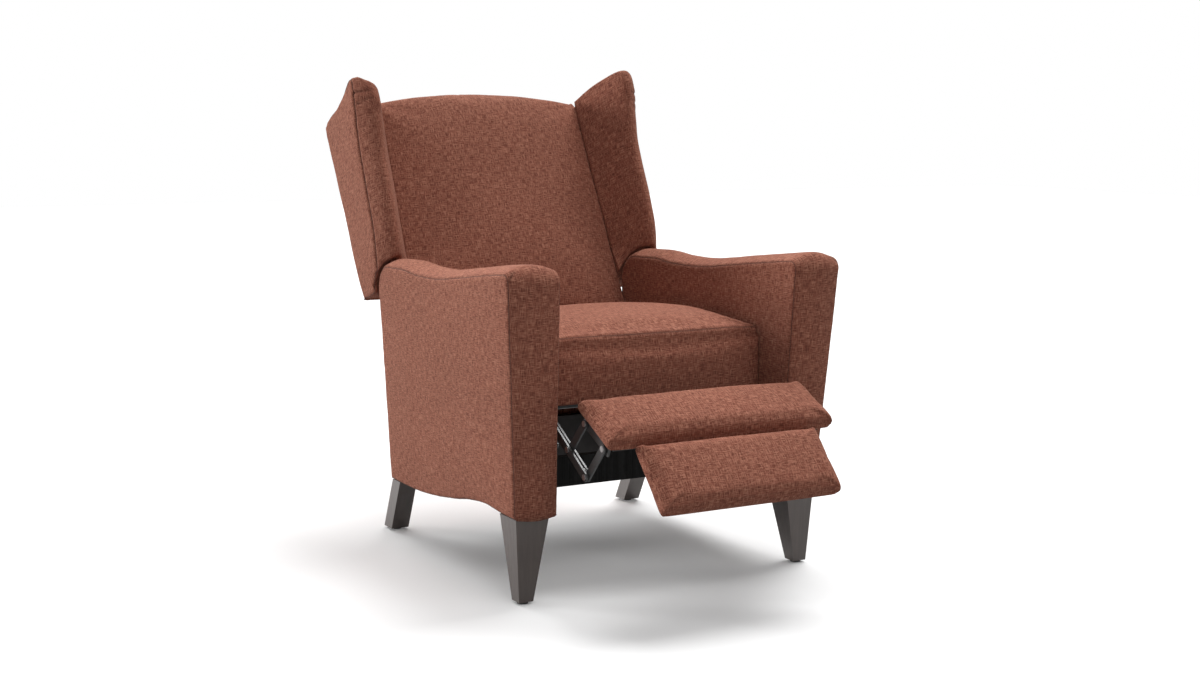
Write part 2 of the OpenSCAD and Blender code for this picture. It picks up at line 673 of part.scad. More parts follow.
leaf_top = -pad_t - board_t - seat_fit - (-hinge_seat.y);
module knuckle(x0, x1) {
    difference() {
        translate([x0, 0, 0]) rotate([0, 90, 0]) cylinder(r = knuckle_r, h = x1 - x0);
        translate([x0 - over, 0, 0]) rotate([0, 90, 0]) cylinder(r = hinge_pin_r + pin_play, h = x1 - x0 + 2 * over);
    }
}
module upper_leaf_pair() {
    pad_place() translate([0, hinge_seat.x, -hinge_seat.y]) for (s = [-1, 1]) translate([s * hinge_x, 0, 0]) {
        knuckle(-hinge_l / 6 + seat_fit, hinge_l / 6 - seat_fit);
        difference() {
            translate([-hinge_l / 6 + seat_fit, -leaf_d, leaf_top - leaf_t]) cube([hinge_l / 3 - 2 * seat_fit, leaf_d, leaf_t]);
            rotate([0, 90, 0]) translate([0, 0, -hinge_l]) cylinder(r = hinge_pin_r + pin_play, h = 2 * hinge_l);
        }
    }
}
module hinge_pin_set() {
    pad_place() translate([0, hinge_seat.x, -hinge_seat.y]) for (s = [-1, 1])
        translate([s * hinge_x - hinge_l / 2, 0, 0]) rotate([0, 90, 0]) cylinder(r = hinge_pin_r, h = hinge_l);
}
module lower_leaf_pair() {
    flap_place() for (s = [-1, 1], e = [-1, 1]) translate([s * hinge_x + e * hinge_l / 3, 0, 0]) {
        knuckle(-hinge_l / 6 + seat_fit, hinge_l / 6 - seat_fit);
        translate([-hinge_l / 6 + seat_fit, 0, leaf_top - leaf_t])
            cube([hinge_l / 3 - 2 * seat_fit, leaf_d, leaf_t]);
    }
}
flap_start = 4;
flap_t = pad_t;
module flap_board_part() {
    flap_place() translate([-flap_w / 2 + board_margin + over, board_margin, leaf_top + seat_fit])
        cube([flap_w - 2 * board_margin - 2 * over, flap_d - 2 * board_margin, board_t - seat_fit]);
}
module lower_pad() {
    flap_place() pad_form(flap_w, flap_start, flap_start + flap_d, leaf_top + board_t + seat_fit, flap_t - pad_crown / 2, pad_crown);
}

// Seat
seat_frame_t = 20;
seat_side_w = 40;
seat_frame_top = 415.7;
seat_frame_z = plate_z.y + steel_t;
seat_frame_x = 262;
seat_frame_rear = 284;
deck_t = 2.5;
seat_under = seat_frame_top + deck_t + 2 * seat_fit;
seat_frame_front = 231.7;
spring_r = 1.8;
module seat_side_rail_pair() {
    both_sides() translate([seat_frame_x - seat_side_w, -seat_frame_front, seat_frame_z])
        cube([seat_side_w, seat_frame_rear + seat_frame_front, seat_frame_top - seat_frame_z]);
}
module seat_cross_rail_pair() {
    x = seat_frame_x - seat_side_w - seat_fit / 2;
    for (y = [-seat_frame_front, seat_frame_rear - seat_frame_t])
        translate([-x, y, seat_frame_z]) cube([2 * x, seat_frame_t, seat_frame_top - seat_frame_z]);
}
// Wire of radius r along a path of 3D points, with n sides
module wire(path, r, n) {
    m = len(path);
    tan_at = [for (i = [0 : m - 1]) unit(path[min(i + 1, m - 1)] - path[max(i - 1, 0)])];
    rings = [for (i = [0 : m - 1])
        let (t = tan_at[i], a = unit(cross(t, abs(t.z) > 0.9 ? [1, 0, 0] : [0, 0, 1])), b = cross(t, a))
        [for (k = [0 : n - 1]) path[i] + r * (a * cos(360 * k / n) + b * sin(360 * k / n))]];
    polyhedron(
        points = [for (q = rings) each q],
        faces = concat(
            [for (j = [0 : m - 2], i = [0 : n - 1]) let (k = (i + 1) % n) [j * n + i, (j + 1) * n + i, j * n + k]],
            [for (j = [0 : m - 2], i = [0 : n - 1]) let (k = (i + 1) % n) [j * n + k, (j + 1) * n + i, (j + 1) * n + k]],
            [[for (i = [0 : n - 1]) i]], [[for (i = [n - 1 : -1 : 0]) (m - 1) * n + i]]));
}
// Sinuous spring along +Y from y = 0 to length l, arched upwards by rise
module sinuous(l, w, rise, bends) {
    steps = bends * 4;
    wire([for (i = [0 : steps])
        let (t = i / steps)
        [w / 2 * sin(360 * t * bends / 2), l * t, rise * sin(180 * t)]], spring_r, 6);
}
seat_spring_z = seat_frame_top - 9;
seat_strands = 5;
module seat_spring_set() {
    y0 = -seat_frame_front + seat_frame_t + seat_fit;
    l = seat_frame_rear - seat_frame_t - seat_fit - y0;
    pitch = 2 * (seat_frame_x - seat_side_w) / seat_strands;
    for (i = [0 : seat_strands - 1])
        translate([(i - (seat_strands - 1) / 2) * pitch, y0, seat_spring_z]) sinuous(l, pitch * 0.55, spring_r * 3, 12);
}
module seat_deck_sheet() {
    translate([-seat_frame_x, -seat_frame_front, seat_frame_top + seat_fit])
        cube([2 * seat_frame_x, seat_frame_front + seat_frame_rear, deck_t]);
}
// Seat cushion section: outer chain from the lower front edge over the top to the rear.
// Along the depth, height above the seam as a share of the crown, share of the crown across the seat
seat_face_shares = [[0, 0], [-0.006, 0.25], [-0.008, 0.55], [-0.004, 0.85], [0, 0.95]];
seat_top_shares = [[0.008, 0, 0.05], [0.03, 0.24, 0.25], [0.09, 0.55, 0.6], [0.19, 0.86, 0.9], [0.32, 1, 1], [0.47, 0.94, 1],
                   [0.62, 0.66, 1], [0.76, 0.18, 0.9], [0.87, -0.42, 0.7], [0.94, -0.86, 0.5], [0.985, -1.35, 0.2], [1, -2.2, 0],
                   [0.99, -3.0, 0]];
seat_cross_shares = [0, 0.2, 0.42, 0.62, 0.8, 0.92, 0.98, 1];
seat_d = seat_front + seat_rear;
seat_side_drop = 17;
function seat_outer(f) =
    let (side = pow(abs(f), 3))
    concat(
        [for (s = seat_face_shares) [f * seat_w / 2, -seat_front + s.x * seat_d * (1 - side), lerp(seat_low, seat_seam_h, s.y)]],
        [for (s = seat_top_shares) [f * seat_w / 2, -seat_front + s.x * seat_d,
            seat_seam_h + s.y * seat_crown - side * s.z * seat_side_drop]]);
function seat_inner(f) =
    let (n = len(seat_face_shares) + len(seat_top_shares), k = 4)
    [for (i = [0 : n - 1]) i < k
        ? [f * seat_w / 2, -seat_frame_front - seat_fit, lerp(seat_low, seat_under, i / (k - 1))]
        : [f * seat_w / 2, lerp(-seat_frame_front - seat_fit, seat_rear - over * 6, (i - k + 1) / (n - k)), seat_under]];
seat_fs = concat(rev([for (f = seat_cross_shares) if (f > 0) -f]), seat_cross_shares);
module seat_cushion_form() {
    band_skin([for (f = seat_fs) seat_outer(f)], [for (f = seat_fs) seat_inner(f)]);
}

// Back, in a frame that stands on the foot of the cushion's side edge: y rearwards, z up the back
back_foot = [338, 500];
module back_place() {
    translate([0, back_foot.x, back_foot.y]) rotate([-back_lean, 0, 0]) children();
}
function to_back(p) = turn(p - back_foot, back_lean);
frame_s = [38, 72];
post_x = [205, 243];
post_low = -150;
post_top = 505;
rail_h = 40;
mid_rail = 60;
low_rail = -80;
module back_post_pair() {
    both_sides() back_place() difference() {
        translate([post_x.x, frame_s.x, post_low]) cube([post_x.y - post_x.x, frame_s.y - frame_s.x, post_top - post_low]);
        for (h = bracket_bolt_h)
            translate([post_x.y - back_bolt_l, bracket_s, h]) rotate([0, 90, 0]) cylinder(r = screw_r + seat_fit, h = back_bolt_l + over);
    }
}
module back_rail_set() {
    x = post_x.x - seat_fit / 2;
    back_place() for (h = [post_top - rail_h, mid_rail, low_rail])
        translate([-x, frame_s.x, h]) cube([2 * x, frame_s.y - frame_s.x, rail_h]);
}
back_strands = 4;
module back_spring_set() {
    z0 = mid_rail + rail_h + seat_fit;
    l = post_top - rail_h - seat_fit - z0;
    pitch = 2 * post_x.x / back_strands;
    back_place() for (i = [0 : back_strands - 1])
        translate([(i - (back_strands - 1) / 2) * pitch, frame_s.x + 6 * spring_r, z0])
            rotate([90, 0, 0]) sinuous(l, pitch * 0.5, 3 * spring_r, 10);
}
// Half width of the back cushion at height h
function back_half(h) = lerp(back_w_low, back_w, min(1, max(0, (h - 0.35 * back_h) / (0.65 * back_h)))) / 2;
// Front of the cushion: height as a share, bulge as a share
back_front_shares = [[-0.02, 0.80], [0.06, 0.92], [0.16, 1], [0.30, 1], [0.46, 0.92], [0.62, 0.82], [0.78, 0.70], [0.90, 0.52],
                     [0.965, 0.28]];
// Top roll: depth as a share, height as a share above the side edge
back_roll_shares = [[0.0, 0.0], [0.04, 0.42], [0.15, 0.84], [0.40, 1], [0.70, 0.93], [0.92, 0.55], [0.97, 0]];
back_roll = 12;
// Rise of the cushion's rolled top over its side edge
back_top_rise = 19;
back_side_edge = 2;
back_bottom_h = 22;
cushion_in = frame_s.x - seat_fit;
lip_under = post_top + seat_fit;
function back_outer(f) =
    let (side = pow(abs(f), 2.6), arch = back_arch * (1 - f * f))
    concat(
        [for (s = back_front_shares) let (h = s.x * back_h + (s.x < 0 ? side * back_bottom_h * 0.7 : 0))
            [f * back_half(h), back_side_edge - (back_crown + back_side_edge) * s.y * (1 - side), h + arch * max(0, s.x - 0.5) * 2]],
        [for (s = back_roll_shares)
            [f * back_half(back_h), lerp(-back_crown * 0.2 * (1 - side), back_d - over, s.x),
             lerp(back_h - back_roll, back_h + back_top_rise, s.y) + arch]]);
function back_inner(f) =
    let (n = len(back_front_shares) + len(back_roll_shares), k = 12)
    [for (i = [0 : n - 1]) let (h = lerp(back_bottom_h, lip_under, i / (k - 1))) i < k
        ? [f * back_half(h), cushion_in, h]
        : [f * back_half(back_h), lerp(cushion_in, back_d - 2 * over, (i - k + 1) / (n - k)), lip_under]];
back_cross_shares = [0, 0.2, 0.42, 0.62, 0.8, 0.92, 0.98, 1];
back_fs = rev(concat(rev([for (f = back_cross_shares) if (f > 0) -f]), back_cross_shares));
module back_cushion_form() {
    back_place() band_skin([for (f = back_fs) back_outer(f)], [for (f = back_fs) back_inner(f)]);
}
// Outside back: a padded panel behind the frame
outside_low = -140;
outside_d_low = 92;
// Room beside the outside back, between the arms and between the wings
outside_room = [4, 2];
// Section of the outside back: height, belly and the change from the lower to the upper width, as shares
outside_shares = [[0, 0, 0], [0.03, 0.5, 0], [0.15, 0.85, 0], [0.4, 1, 0], [0.7, 1, 1], [0.9, 0.85, 1], [0.975, 0.5, 1], [1, 0, 1]];
outside_belly = 5;
function outside_side(share) = lerp(back_w_low / 2 - outside_room.x, back_w / 2 - outside_room.y, share);
module outside_back_form() {
    top = lip_under - 2 * seat_fit;
    chain = function (f) [for (s = outside_shares) let (h = lerp(outside_low, top, s.x))
        [f * outside_side(s.z), lerp(outside_d_low, back_d, s.x) - outside_belly * (2 - s.y - (1 - pow(abs(f), 4))), h]];
    back = function (f) [for (s = outside_shares) let (h = lerp(outside_low, top, s.x))
        [f * outside_side(s.z), frame_s.y + seat_fit, h]];
    fs = [-1, -0.96, -0.8, -0.4, 0, 0.4, 0.8, 0.96, 1];
    back_place() band_skin([for (f = fs) chain(f)], [for (f = fs) back(f)]);
}

// Wings, in the frame of the back
// Front seam: height as a share of the back, how far ahead as a share of the reach
wing_seam_shares = [[0.27, 0.79], [0.355, 0.92], [0.49, 0.98], [0.67, 1.03], [0.80, 1.19], [0.89, 1.38], [0.965, 1.51]];
// Top edge: from front to rear, height as a share of the back
wing_top_shares = [[-0.92, 1.017], [-0.6, 1.008], [-0.3, 0.998], [0.2, 0.996], [0.65, 1.002], [0.92, 0.994]];
// Rings across the wing from the cushion out: place, share of the face, share of the roll, angle at which it meets the arm
wing_ring_shares = [[0, 0, 0, 20], [0.12, 0.2, 0, 29], [0.28, 0.49, 0, 47], [0.44, 0.78, 0, 66], [0.56, 0.955, 0, 79], [0.66, 1, 1, 84],
                    [0.78, 1, 0.86, 78], [0.89, 1, 0.56, 66], [0.965, 1, 0.24, 54], [1, 1, 0, 46]];
wing_gap = 0.8;
// Extra room behind the arm's corner, which the wing swings past as the back comes upright
wing_tail_room = 3;
wing_tip = [424, 531];
wing_tail = [446, 545];
wing_top_roll = 9;
// How far behind the cushion's face the middle of a wing's side lies
wing_mid_d = 40;
function wing_half(s) = lerp(wing_span, wing_span_rear, (s + 100) / 210) / 2;
function crown_at(f) = lookup(f, arm_ring_shares);
function wing_ring(r) =
    let (f = r[0], g = r[1], b = r[2], a0 = r[3],
         crown = arm_crown * max(0, crown_at(f)),
         foot = [for (t = [0 : 4]) let (a = lerp(a0, -6, t / 4))
             to_back(arm_rear_c + (arm_rear_r + wing_clear + crown + wing_tail_room * (1 - max(0, a) / 90)) * [cos(a), sin(a)])],
         seam = [for (s = wing_seam_shares) let (n = -s.y * wing_reach, roll = wing_roll * (s.x > 0.85 ? 0.82 : 1))
             [b > 0 || f > 0.7 ? n - roll * b : (n - roll) * g - back_side_edge * (1 - g), s.x * back_h]],
         front_top = seam[len(seam) - 1],
         roll_up = wing_top_roll * sin(180 * f),
         rear_top = back_d + over,
         top = [for (s = wing_top_shares)
             let (y = s.x < 0 ? s.x * -front_top.x / 0.98 : s.x * rear_top) [y, s.y * back_h + roll_up * (s.x < 0.9 ? 1 : 0.4)]],
         rear = [[rear_top, 0.95 * back_h], [lerp(rear_top, to_back(wing_tail).x, 0.45), 0.60 * back_h], to_back(wing_tail)])
    [for (p = concat(rev(seam), foot, [to_back(wing_tip)], rev(rear), rev(top)))
        [lerp(back_half(p.y) + wing_gap, wing_half(p.x), f), p.x, p.y]];
module wing_form() {
    rings = [for (r = wing_ring_shares) wing_ring(r)];
    mid = [wing_mid_d, 0.56 * back_h];
    ends = [[back_half(mid.y) + wing_gap, mid.x, mid.y], [wing_half(mid.x) + arm_belly / 2, mid.x, mid.y]];
    inner = [for (p = rings[0]) let (h = lerp(mid.y, p.z, 0.5)) [back_half(h) + wing_gap, lerp(mid.x, p.y, 0.5), h]];
    last = rings[len(rings) - 1];
    outer = [for (p = last) [wing_half(p.y) + arm_belly / 2, lerp(mid.x, p.y, 0.5), lerp(mid.y, p.z, 0.5)]];
    back_place() skin(concat([inner], rings, [outer]), ends[0], ends[1]);
}
panel_x = 325;
panel_t = 15;
// Plywood panel inside the wing: depth and height as shares of the back's
wing_panel_shares = [[0.34, 0.24], [0.70, 0.22], [0.84, 0.92], [0.0, 0.92], [-0.55, 0.92], [-0.36, 0.70], [-0.30, 0.40], [0.0, 0.27]];
module wing_panel_shape(grow, t) {
    back_place() translate([panel_x - grow, 0, 0]) rotate([90, 0, 90]) linear_extrude(height = t + 2 * grow)
        offset(delta = grow) polygon([for (s = wing_panel_shares) [s.x * back_d, s.y * back_h]]);
}
module wing() {
    difference() {
        wing_form();
        wing_panel_shape(seat_fit, panel_t);
    }
}

// Steel brackets that hinge the back to the side plates
bracket_s = 55;
bracket_w = 26;
bracket_bolt_h = [-120, -60];
back_bolt_l = 26;
module back_bracket_pair() {
    foot = turn([bracket_s, post_low + bracket_w / 2], -back_lean) + back_foot;
    head = turn([bracket_s, bracket_bolt_h.y + bracket_w / 2], -back_lean) + back_foot;
    both_sides() difference() {
        union() {
            bar(back_pivot, foot, drive_x, bracket_w, steel_t);
            bar(foot, head, drive_x, bracket_w + 2 * over, steel_t);
        }
        hole(back_pivot, drive_x, pin_r + pin_play / 2);
        for (h = bracket_bolt_h) hole(turn([bracket_s, h], -back_lean) + back_foot, drive_x, screw_r + seat_fit);
    }
}
module back_bolt_set() {
    both_sides() back_place() for (h = bracket_bolt_h) {
        translate([post_x.y - back_bolt_l + seat_fit, bracket_s, h]) rotate([0, 90, 0])
            cylinder(r = screw_r, h = back_bolt_l + steel_t + rivet_h);
        translate([drive_x + steel_t + seat_fit, bracket_s, h]) rotate([0, 90, 0]) cylinder(r = screw_head_r, h = rivet_h);
    }
}
module back_pin_set() {
    both_sides() rivet(back_pivot, drive_x, plate_x + steel_t);
}

// The chair's outline along Y, from the nose of the lower pad to the top of the wings
nose = pad_section_shares[7];
nose_d = flap_start + nose.x * flap_d;
nose_up = leaf_top + board_t + seat_fit + nose.y * (flap_t - pad_crown / 2) + nose.z * pad_crown;
reach_front = -flap_axis.x + nose_d * cos(flap_slope) + nose_up * sin(flap_slope);
reach_rear = back_foot.x + (back_d + over) * cos(back_lean) + (wing_top_shares[5].y * back_h + 0.4 * wing_top_roll) * sin(back_lean);
shift_y = (reach_front - reach_rear) / 2;
module in_place() {
    translate([0, shift_y, 0]) children();
}

module left_arm_cover() { color(fabric) in_place() mirror([1, 0, 0]) arm_cover(); }
module right_arm_cover() { color(fabric) in_place() arm_cover(); }
module left_arm_frame() { color(timber) in_place() mirror([1, 0, 0]) arm_frame(); }
module right_arm_frame() { color(timber) in_place() arm_frame(); }
module front_left_leg() { color(espresso) in_place() mirror([1, 0, 0]) front_leg(); }
module front_right_leg() { color(espresso) in_place() front_leg(); }
module rear_left_leg() { color(espresso) in_place() mirror([1, 0, 0]) rear_leg(); }
module rear_right_leg() { color(espresso) in_place() rear_leg(); }
module leg_glides() { color(lining) in_place() glide_set(); }
module leg_bolts() { color(zinc) in_place() bolt_set(); }
module front_rail() { color(lining) in_place() difference() { front_rail_board(); rail_screw_holes(); } }
module rear_rail() { color(timber) in_place() difference() { rear_rail_board(); rail_screw_holes(); } }
module rear_apron() { color(fabric) in_place() apron_panel(); }
module corner_blocks() { color(timber) in_place() corner_block_set(); }
module left_base_angle() { color(steel) in_place() mirror([1, 0, 0]) base_angle(); }
module right_base_angle() { color(steel) in_place() base_angle(); }
module base_screws() { color(zinc) in_place() base_screw_set(); }
module left_side_plate() { color(steel) in_place() mirror([1, 0, 0]) side_plate(); }
module right_side_plate() { color(steel) in_place() side_plate(); }
module glide_studs() { color(zinc) in_place() stud_set(); }
module plate_pins() { color(zinc) in_place() plate_pin_set(); }
module seat_side_rails() { color(timber) in_place() seat_side_rail_pair(); }
module seat_cross_rails() { color(timber) in_place() seat_cross_rail_pair(); }
module seat_springs() { color(zinc) in_place() seat_spring_set(); }
module seat_deck() { color(lining) in_place() seat_deck_sheet(); }
module seat_cushion() { color(fabric) in_place() seat_cushion_form(); }
module left_drive_link() { color(steel) in_place() mirror([1, 0, 0]) drive_link(); }
module right_drive_link() { color(steel) in_place() drive_link(); }
module drive_link_pins() { color(zinc) in_place() drive_pin_set(); }
module guide_links() { color(steel) in_place() guide_link_pair(); }
module guide_link_pins() { color(zinc) in_place() guide_pin_set(); }
module front_links() { color(steel) in_place() front_link_pair(); }
module front_link_pins() { color(zinc) in_place() front_pin_set(); }
module rear_links() { color(steel) in_place() rear_link_pair(); }
module rear_link_pins() { color(zinc) in_place() rear_pin_set(); }
module cross_tube() { color(steel) in_place() cross_tube_set(); }
module tube_cranks() { color(steel) in_place() crank_pair(); }
module crank_pins() { color(zinc) in_place() crank_pin_set(); }
module tie_rods() { color(steel) in_place() tie_rod_pair(); }
module footrest_brackets() { color(steel) in_place() bracket_pair(); }
module bracket_screws() { color(zinc) in_place() bracket_screw_set(); }
module footrest_board() { color(timber) in_place() upper_board(); }
module upper_footrest_pad() { color(fabric) in_place() upper_pad(); }
module flap_hinge_upper_leaves() { color(steel) in_place() upper_leaf_pair(); }
module flap_hinge_pins() { color(zinc) in_place() hinge_pin_set(); }
module flap_hinge_lower_leaves() { color(steel) in_place() lower_leaf_pair(); }
module flap_board() { color(timber) in_place() flap_board_part(); }
module lower_footrest_pad() { color(fabric) in_place() lower_pad(); }
module back_posts() { color(timber) in_place() back_post_pair(); }
module back_rails() { color(timber) in_place() back_rail_set(); }
module back_springs() { color(zinc) in_place() back_spring_set(); }
module back_cushion() { color(fabric) in_place() back_cushion_form(); }
module outside_back() { color(fabric) in_place() outside_back_form(); }
module left_wing_panel() { color(timber) in_place() mirror([1, 0, 0]) wing_panel_shape(0, panel_t); }
module right_wing_panel() { color(timber) in_place() wing_panel_shape(0, panel_t); }
module left_wing() { color(fabric) in_place() mirror([1, 0, 0]) wing(); }
module right_wing() { color(fabric) in_place() wing(); }
module back_brackets() { color(steel) in_place() back_bracket_pair(); }
module back_bracket_bolts() { color(zinc) in_place() back_bolt_set(); }
module back_pivot_pins() { color(zinc) in_place() back_pin_set(); }

left_arm_cover();
right_arm_cover();
left_arm_frame();
right_arm_frame();
front_left_leg();
front_right_leg();
rear_left_leg();
rear_right_leg();
leg_glides();
leg_bolts();
front_rail();
rear_rail();
rear_apron();
corner_blocks();
left_base_angle();
right_base_angle();
base_screws();
left_side_plate();
right_side_plate();
glide_studs();
plate_pins();
seat_side_rails();
seat_cross_rails();
seat_springs();
seat_deck();
seat_cushion();
left_drive_link();
right_drive_link();
drive_link_pins();
guide_links();
guide_link_pins();
front_links();
front_link_pins();
rear_links();
rear_link_pins();
cross_tube();
tube_cranks();
crank_pins();
tie_rods();
footrest_brackets();
bracket_screws();
footrest_board();
upper_footrest_pad();
flap_hinge_upper_leaves();
flap_hinge_pins();
flap_hinge_lower_leaves();
flap_board();
lower_footrest_pad();
back_posts();
back_rails();
back_springs();
back_cushion();
outside_back();
left_wing_panel();
right_wing_panel();
left_wing();
right_wing();
back_brackets();
back_bracket_bolts();
back_pivot_pins();
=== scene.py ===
"""Looks of the push-back wingback recliner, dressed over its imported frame.

Sizes are in millimetres in the chair's own frame, as in its construction, until a mesh is made in metres.
"""
import json
import math

import bmesh
import bpy
import numpy as np
from mathutils import Matrix, Vector, noise
from mathutils.bvhtree import BVHTree
from mathutils.kdtree import KDTree


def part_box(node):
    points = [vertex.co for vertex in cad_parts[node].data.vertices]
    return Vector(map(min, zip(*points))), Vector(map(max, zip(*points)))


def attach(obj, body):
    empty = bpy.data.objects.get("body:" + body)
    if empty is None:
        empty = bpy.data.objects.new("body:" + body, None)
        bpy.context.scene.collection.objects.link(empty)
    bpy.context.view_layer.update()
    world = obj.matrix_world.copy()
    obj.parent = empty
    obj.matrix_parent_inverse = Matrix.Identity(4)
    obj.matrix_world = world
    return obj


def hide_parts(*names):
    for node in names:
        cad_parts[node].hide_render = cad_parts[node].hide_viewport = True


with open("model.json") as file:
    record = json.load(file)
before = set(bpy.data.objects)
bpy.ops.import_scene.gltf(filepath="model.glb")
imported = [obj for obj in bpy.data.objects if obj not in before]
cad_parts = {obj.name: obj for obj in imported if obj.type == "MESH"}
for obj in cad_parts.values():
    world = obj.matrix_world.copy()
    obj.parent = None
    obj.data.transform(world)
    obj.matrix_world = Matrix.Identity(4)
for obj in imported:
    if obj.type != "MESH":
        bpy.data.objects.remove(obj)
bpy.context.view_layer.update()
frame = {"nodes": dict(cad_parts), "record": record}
cad = frame["nodes"]

MM = 0.001
# Y is measured from the middle of the arms, and the front rail's front face lies this far ahead of it
RAIL_AHEAD = 160.0
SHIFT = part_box("front_rail")[0].y / MM + RAIL_AHEAD

# Measuring and drawing curves

# Rows of points on a panel, by their distance from its sewn edge, and the spacing further in
EDGE_ROWS = [0.0, 1.3, 2.8, 5.0, 8.5, 14.0, 22.0]
LAST_EDGE_ROW, FIRST_INNER_ROW, STRIP_SPACING = 32.0, 44.0, 9.0
# A cover's columns are evenly spread over this share of its half width
EVEN_SHARE = 0.95


def lerp(a, b, t):
    return a + (b - a) * t


def in_metres(p):
    """A place in the chair's frame as a place in the scene."""
    return (p[0] * MM, (p[1] + SHIFT) * MM, p[2] * MM)


def smooth_curve(points, steps, closed=False):
    """Points on a smooth curve through the given ones, with this many steps in each span."""
    p = np.asarray(points, float)
    n = len(p)
    out = []
    for i in range(n if closed else n - 1):
        if closed:
            a, b, c, d = p[i - 1], p[i], p[(i + 1) % n], p[(i + 2) % n]
        else:
            a, b, c, d = p[max(i - 1, 0)], p[i], p[i + 1], p[min(i + 2, n - 1)]
        for t in np.arange(steps) / steps:
            bend = (2 * a - 5 * b + 4 * c - d) * t * t
            out.append(0.5 * (2 * b + (c - a) * t + bend + (3 * b - a - 3 * c + d) * t**3))
    if not closed:
        out.append(p[-1])
    return np.array(out)


def arc(centre, r, a0, a1, n):
    a = np.radians(np.linspace(a0, a1, n + 1))
    return np.stack([centre[0] + r * np.cos(a), centre[1] + r * np.sin(a)], 1)


def straight(p, q, n):
    return np.array([lerp(np.array(p, float), np.array(q, float), t) for t in np.linspace(0, 1, n)])


def spread(shares, y0, y1, z0, z1):
    """Shares of a length and of a height as places on the side view."""
    return [(lerp(y0, y1, a), lerp(z0, z1, b)) for a, b in shares]


def along(path):
    """Length walked along a path at each of its points."""
    d = np.linalg.norm(np.diff(np.asarray(path, float), axis=0), axis=1)
    return np.concatenate([[0.0], np.cumsum(d)])


def evenly(path, spacing):
    """The same path with points this far apart."""
    path = np.asarray(path, float)
    s = along(path)
    n = max(2, int(round(s[-1] / spacing)) + 1)
    q = np.linspace(0, s[-1], n)
    return np.stack([np.interp(q, s, path[:, k]) for k in range(path.shape[1])], 1)


def strip_columns(width):
    """Shares across a strip of this width, close together near its two sewn edges."""
    last = EDGE_ROWS[-1]
    n = max(1, int(round((width - 2 * last) / STRIP_SPACING)))
    mid = [last + (width - 2 * last) * k / n for k in range(1, n)]
    return np.array(EDGE_ROWS + mid + [width - f for f in reversed(EDGE_ROWS)]) / width


def inward_rows(depth, count):
    """Distances from a panel's sewn edge to its middle, close together near the edge."""
    return np.concatenate([EDGE_ROWS, [LAST_EDGE_ROW], np.linspace(FIRST_INNER_ROW, depth, count)])


def cover_columns(count, edge):
    """Shares of the half width from -1 to 1, with the given ones near both edges."""
    return np.unique(np.concatenate([np.linspace(-EVEN_SHARE, EVEN_SHARE, count), edge, -np.array(edge)]))


# Sewing panels into covers

# Panels are cut from places on the cloth that lie a multiple of this apart
CUT_APART = 500.0
# Points nearer than the first are one where panels meet, and edges shorter than the second go, in metres
SEW_REACH, NO_LENGTH = 0.0002, 1e-6
# How each seed moves the noise that shapes the padding, and the height and size of its finer swells
SEED_STEPS = (3.1, 7.7, 1.9)
FINE_HEIGHT, FINE_SIZE = 0.45, 0.37
# A seam: spacing of its points, width of the painted shade along it, reach of its puckers, lengths of their
# ripples
SEAM_SPACING, PAINTED_SHADE_W, SEAM_REACH, RIPPLE, LONG_RIPPLE = 2.0, 1.7, 26.0, 9.0, 23.0
# How much the long ripples count, and how each seed moves both kinds
LONG_SHARE, RIPPLE_STEP, LONG_RIPPLE_STEP, LONG_RIPPLE_LAYER = 0.6, 5.3, 2.1, 4.0
# The lip beside a seam, as shares of its depth and width, and the place and width of a pucker
LIP_H, LIP_AT, LIP_W = 0.30, 2.6, 1.6
PUCKER_AT, PUCKER_W = 7.0, 8.0
STUFFING_FRAMES = 20
STUFFING = {"quality": 6, "mass": 0.25, "tension_stiffness": 12, "compression_stiffness": 12,
            "shear_stiffness": 5, "bending_stiffness": 0.4, "use_pressure": True}
THREAD_SPACING = 5.0
STITCH_SIZES = {"Stitch Length": 0.0042, "Thread Radius": 0.00045}
STITCH_SHARE, STITCH_SIDES = 0.72, 6


def in_scene(name, data):
    made = bpy.data.objects.new(name, data)
    bpy.context.scene.collection.objects.link(made)
    return made


def sewn(name, panels, mirrored=False):
    """One closed cover from panels of cloth. A panel is (points[row, column], cloth place[row, column]).

    Panels that share an edge are joined there, and each keeps its own run of the weave.
    """
    verts, faces, places = [], [], []
    for points, cloth in panels:
        points = np.array(points, float)
        if mirrored:
            points[..., 0] *= -1
        rows, cols = points.shape[:2]
        first = len(verts)
        verts += [in_metres(p) for p in points.reshape(-1, 3)]
        where = np.asarray(cloth, float).reshape(-1, 2) * MM
        for r in range(rows - 1):
            for c in range(cols - 1):
                corner = r * cols + c
                quad = [corner, corner + 1, corner + cols + 1, corner + cols]
                faces.append([first + k for k in quad])
                places.append([where[k] for k in quad])
    mesh = bpy.data.meshes.new(name)
    mesh.from_pydata(verts, [], faces)
    layer = mesh.uv_layers.new(name="cloth")
    layer.data.foreach_set("uv", np.array(places, np.float32).reshape(-1))
    close_shell(mesh)
    mesh.polygons.foreach_set("use_smooth", [True] * len(mesh.polygons))
    return in_scene(name, mesh)


def close_shell(mesh):
    """Joins the panels where they meet, closes what is left open and turns the faces outwards."""
    bm = bmesh.new()
    bm.from_mesh(mesh)
    bmesh.ops.remove_doubles(bm, verts=bm.verts, dist=SEW_REACH)
    bmesh.ops.dissolve_degenerate(bm, edges=bm.edges, dist=NO_LENGTH)
    open_edges = [e for e in bm.edges if e.is_boundary]
    if open_edges:
        bmesh.ops.holes_fill(bm, edges=open_edges, sides=0)
    bmesh.ops.recalc_face_normals(bm, faces=bm.faces)
    if bm.calc_volume(signed=True) < 0:
        bmesh.ops.reverse_faces(bm, faces=bm.faces)
    bm.to_mesh(mesh)
    bm.free()


